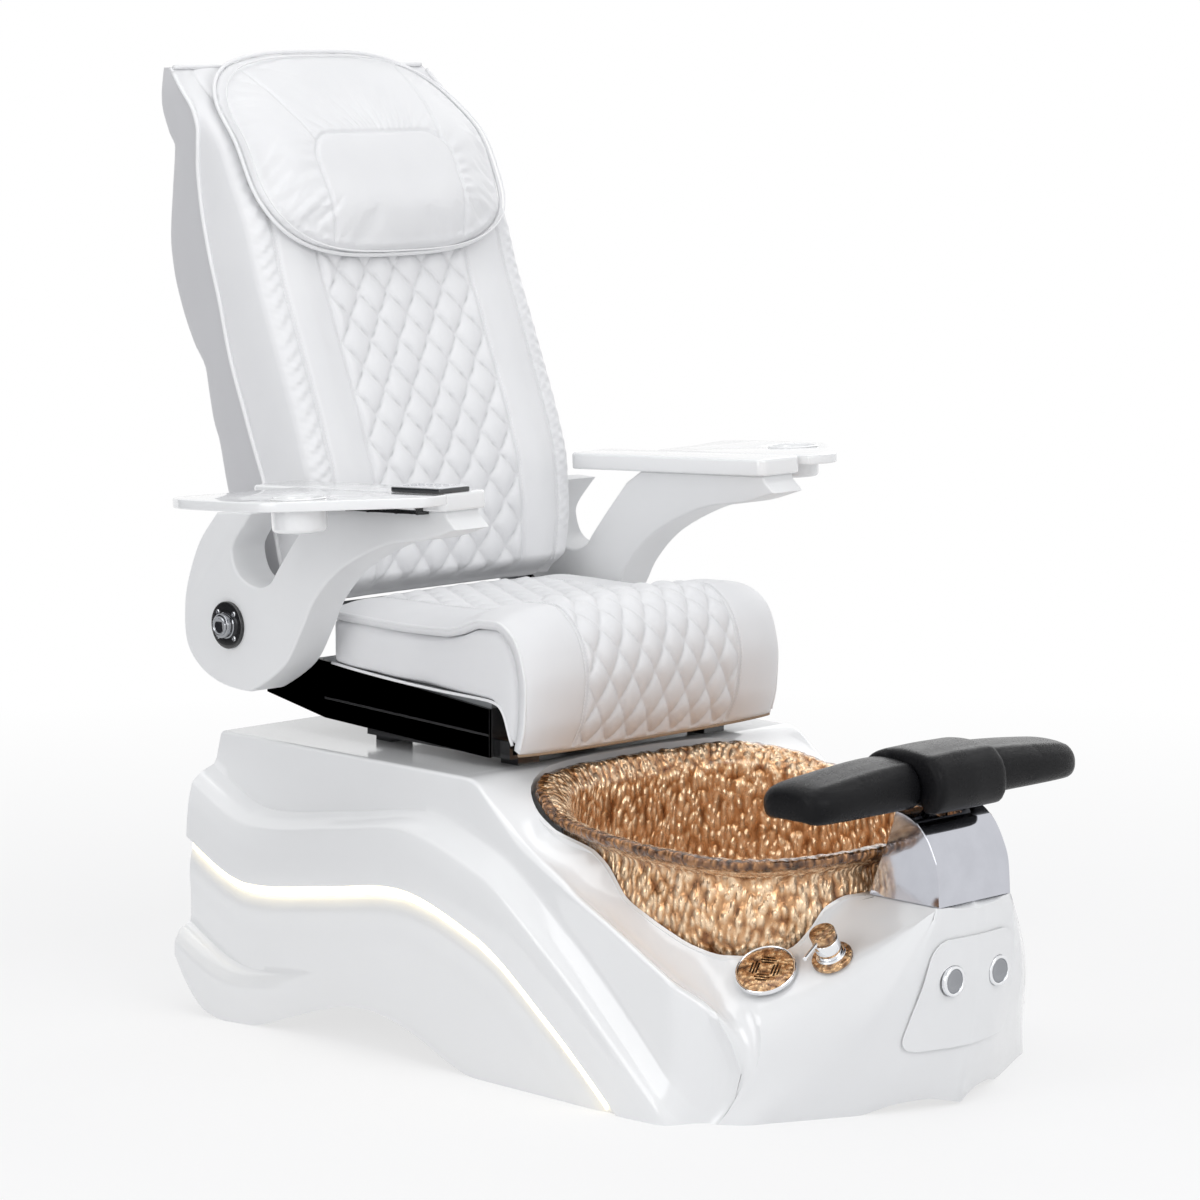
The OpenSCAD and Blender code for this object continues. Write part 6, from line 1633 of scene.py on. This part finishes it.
settle(makeRestPad("footrestPadMiddle", middlePad), "footrest", "black_leather", "footrest_pad_middle", pad=0.95)
bothSides(makeRestPad("footrestPadRight", sidePad), "footrest", "black_leather", "footrest_pad_right", pad=0.95)
print("footrest pads ready")

# finishes for the solids that show as they are, by the finish that the record names
slotFinish = {
    "frame_paint": satinPaint("framePaint", (0.28, 0.29, 0.30), 0.5),
    "rubber": softLeather("footRubber", (0.035, 0.035, 0.037), (0.02, 0.02, 0.022), 0.7, 1400),
    "grey_plastic": satinPaint("greyPlastic", (0.45, 0.46, 0.47), 0.45),
    "black_plastic": satinPaint("blackPlastic", (0.03, 0.03, 0.032), 0.4),
    "black_metal": blackLacquer, "steel": steelBright, "chrome": chrome, "bronze": bronzeCast}


def warmStrip():
    s = Shader("warmStrip", Roughness=0.35)
    cells = s.noise(40, 3)
    tint = s.ramp(cells, (0.3, (1.0, 0.84, 0.50)), (0.7, (1.0, 0.90, 0.62)))
    s.bsdf.inputs["Emission Strength"].default_value = 2.4
    return s.set(Base_Color=tint, Emission_Color=tint)


slotFinish["light"] = warmStrip()
for entry in frame["record"]["subparts"]:
    solid, finish = nodes[entry["node"]], slotFinish.get(entry["material_slot"])
    if finish is not None and not solid.hide_render:
        for place in solid.material_slots:
            place.material = finish
print("finishes on the shown solids ready")

# floor, lamps and background
stageSpec = {"floorSize": 30, "floorColor": (0.8, 0.8, 0.81), "nearShare": 0.72, "nearEnd": 1.1, "farStart": 3.2,
             "worldColor": (0.95, 0.96, 0.98), "worldLight": 0.60}
lamps = [  # name, place, aim, size, power
    ("keyLamp", (-0.6, -4.3, 3.0), (0, 0, 0.8), (3.0, 2.2), 56),
    ("fillLamp", (-4.6, -0.2, 2.0), (0, 0, 0.6), (2.4, 2.4), 40),
    ("topLamp", (-0.6, -0.4, 4.2), (0, 0, 0.6), (2.6, 2.6), 36),
    ("rimLamp", (3.6, 1.6, 2.6), (0, 0, 0.9), (2.2, 2.8), 24)]


def seenDirectly(tree):  # 1 for rays from the camera, from mirrors and through glass
    path = tree.nodes.new("ShaderNodeLightPath")
    total = path.outputs["Is Camera Ray"]
    for label in ("Is Glossy Ray", "Is Transmission Ray"):
        both = tree.nodes.new("ShaderNodeMath")
        both.operation = "MAXIMUM"
        tree.links.new(total, both.inputs[0])
        tree.links.new(path.outputs[label], both.inputs[1])
        total = both.outputs[0]
    return total


def makeSheet(name, corners, paper, scale, low, shade):  # a flat sheet of matt paper
    sheet = rawMesh(name, corners, [], [(0, 1, 2, 3)])
    s = Shader(paper, Roughness=0.9)
    s.set(Base_Color=s.ramp(s.noise(scale, 2), (0.3, tuple(c * low for c in shade)), (0.7, shade)))
    sheet.data.materials.append(s.mat)
    return sheet, s


def makeFloor(spec):  # seen directly it fades to white, and it keeps the chair's shadow
    size = spec["floorSize"] / 2
    floor, s = makeSheet("studioFloor", [(-size, -size, 0), (size, -size, 0), (size, size, 0), (-size, size, 0)],
                         "paperFloor", 3, 0.99, spec["floorColor"])
    glow = s.add("ShaderNodeEmission", {"Color": (1, 1, 1, 1)})
    away = s.add("ShaderNodeVectorMath", {0: s.coords}, operation="LENGTH").outputs["Value"]
    share = s.math("MULTIPLY", seenDirectly(s.tree),
                   s.spread(away, spec["nearEnd"], spec["farStart"], spec["nearShare"], 1.0))
    blend = s.add("ShaderNodeMixShader", {"Fac": share, 1: s.bsdf.outputs[0], 2: glow.outputs[0]})
    s.tree.links.new(blend.outputs[0], s.tree.nodes["Material Output"].inputs["Surface"])


def makeWorld(spec):
    world = bpy.data.worlds.new("studioWorld")
    scene.world = world
    world.use_nodes = True
    tree = world.node_tree
    soft = tree.nodes["Background"]
    soft.inputs["Color"].default_value = (*spec["worldColor"], 1)
    soft.inputs["Strength"].default_value = spec["worldLight"]
    white = tree.nodes.new("ShaderNodeBackground")
    white.inputs["Color"].default_value = (1, 1, 1, 1)
    choice = tree.nodes.new("ShaderNodeMixShader")
    tree.links.new(seenDirectly(tree), choice.inputs[0])
    tree.links.new(soft.outputs[0], choice.inputs[1])
    tree.links.new(white.outputs[0], choice.inputs[2])
    tree.links.new(choice.outputs[0], tree.nodes["World Output"].inputs["Surface"])


def addLamp(name, place, target, size, power):
    data = bpy.data.lights.new(name, "AREA")
    data.shape = "RECTANGLE"
    data.size, data.size_y = size
    data.energy = power
    lamp = linked(name, data)
    lamp.location = place
    lamp.rotation_euler = aimed(Vector(target) - Vector(place))


def addCard(name, corners, shade):  # a dark card that only mirrors see
    card, _ = makeSheet(name, corners, name + "Paper", 4, 0.9, shade)
    card.visible_camera = card.visible_diffuse = card.visible_shadow = card.visible_transmission = False


makeFloor(stageSpec)
makeWorld(stageSpec)
addCard("cardLeft", [(-2.6, 0.6, 0.02), (-1.2, 2.4, 0.02), (-1.2, 2.4, 1.7), (-2.6, 0.6, 1.7)], (0.05, 0.05, 0.055))
for lamp in lamps:
    addLamp(*lamp)
print("stage and lamps ready")
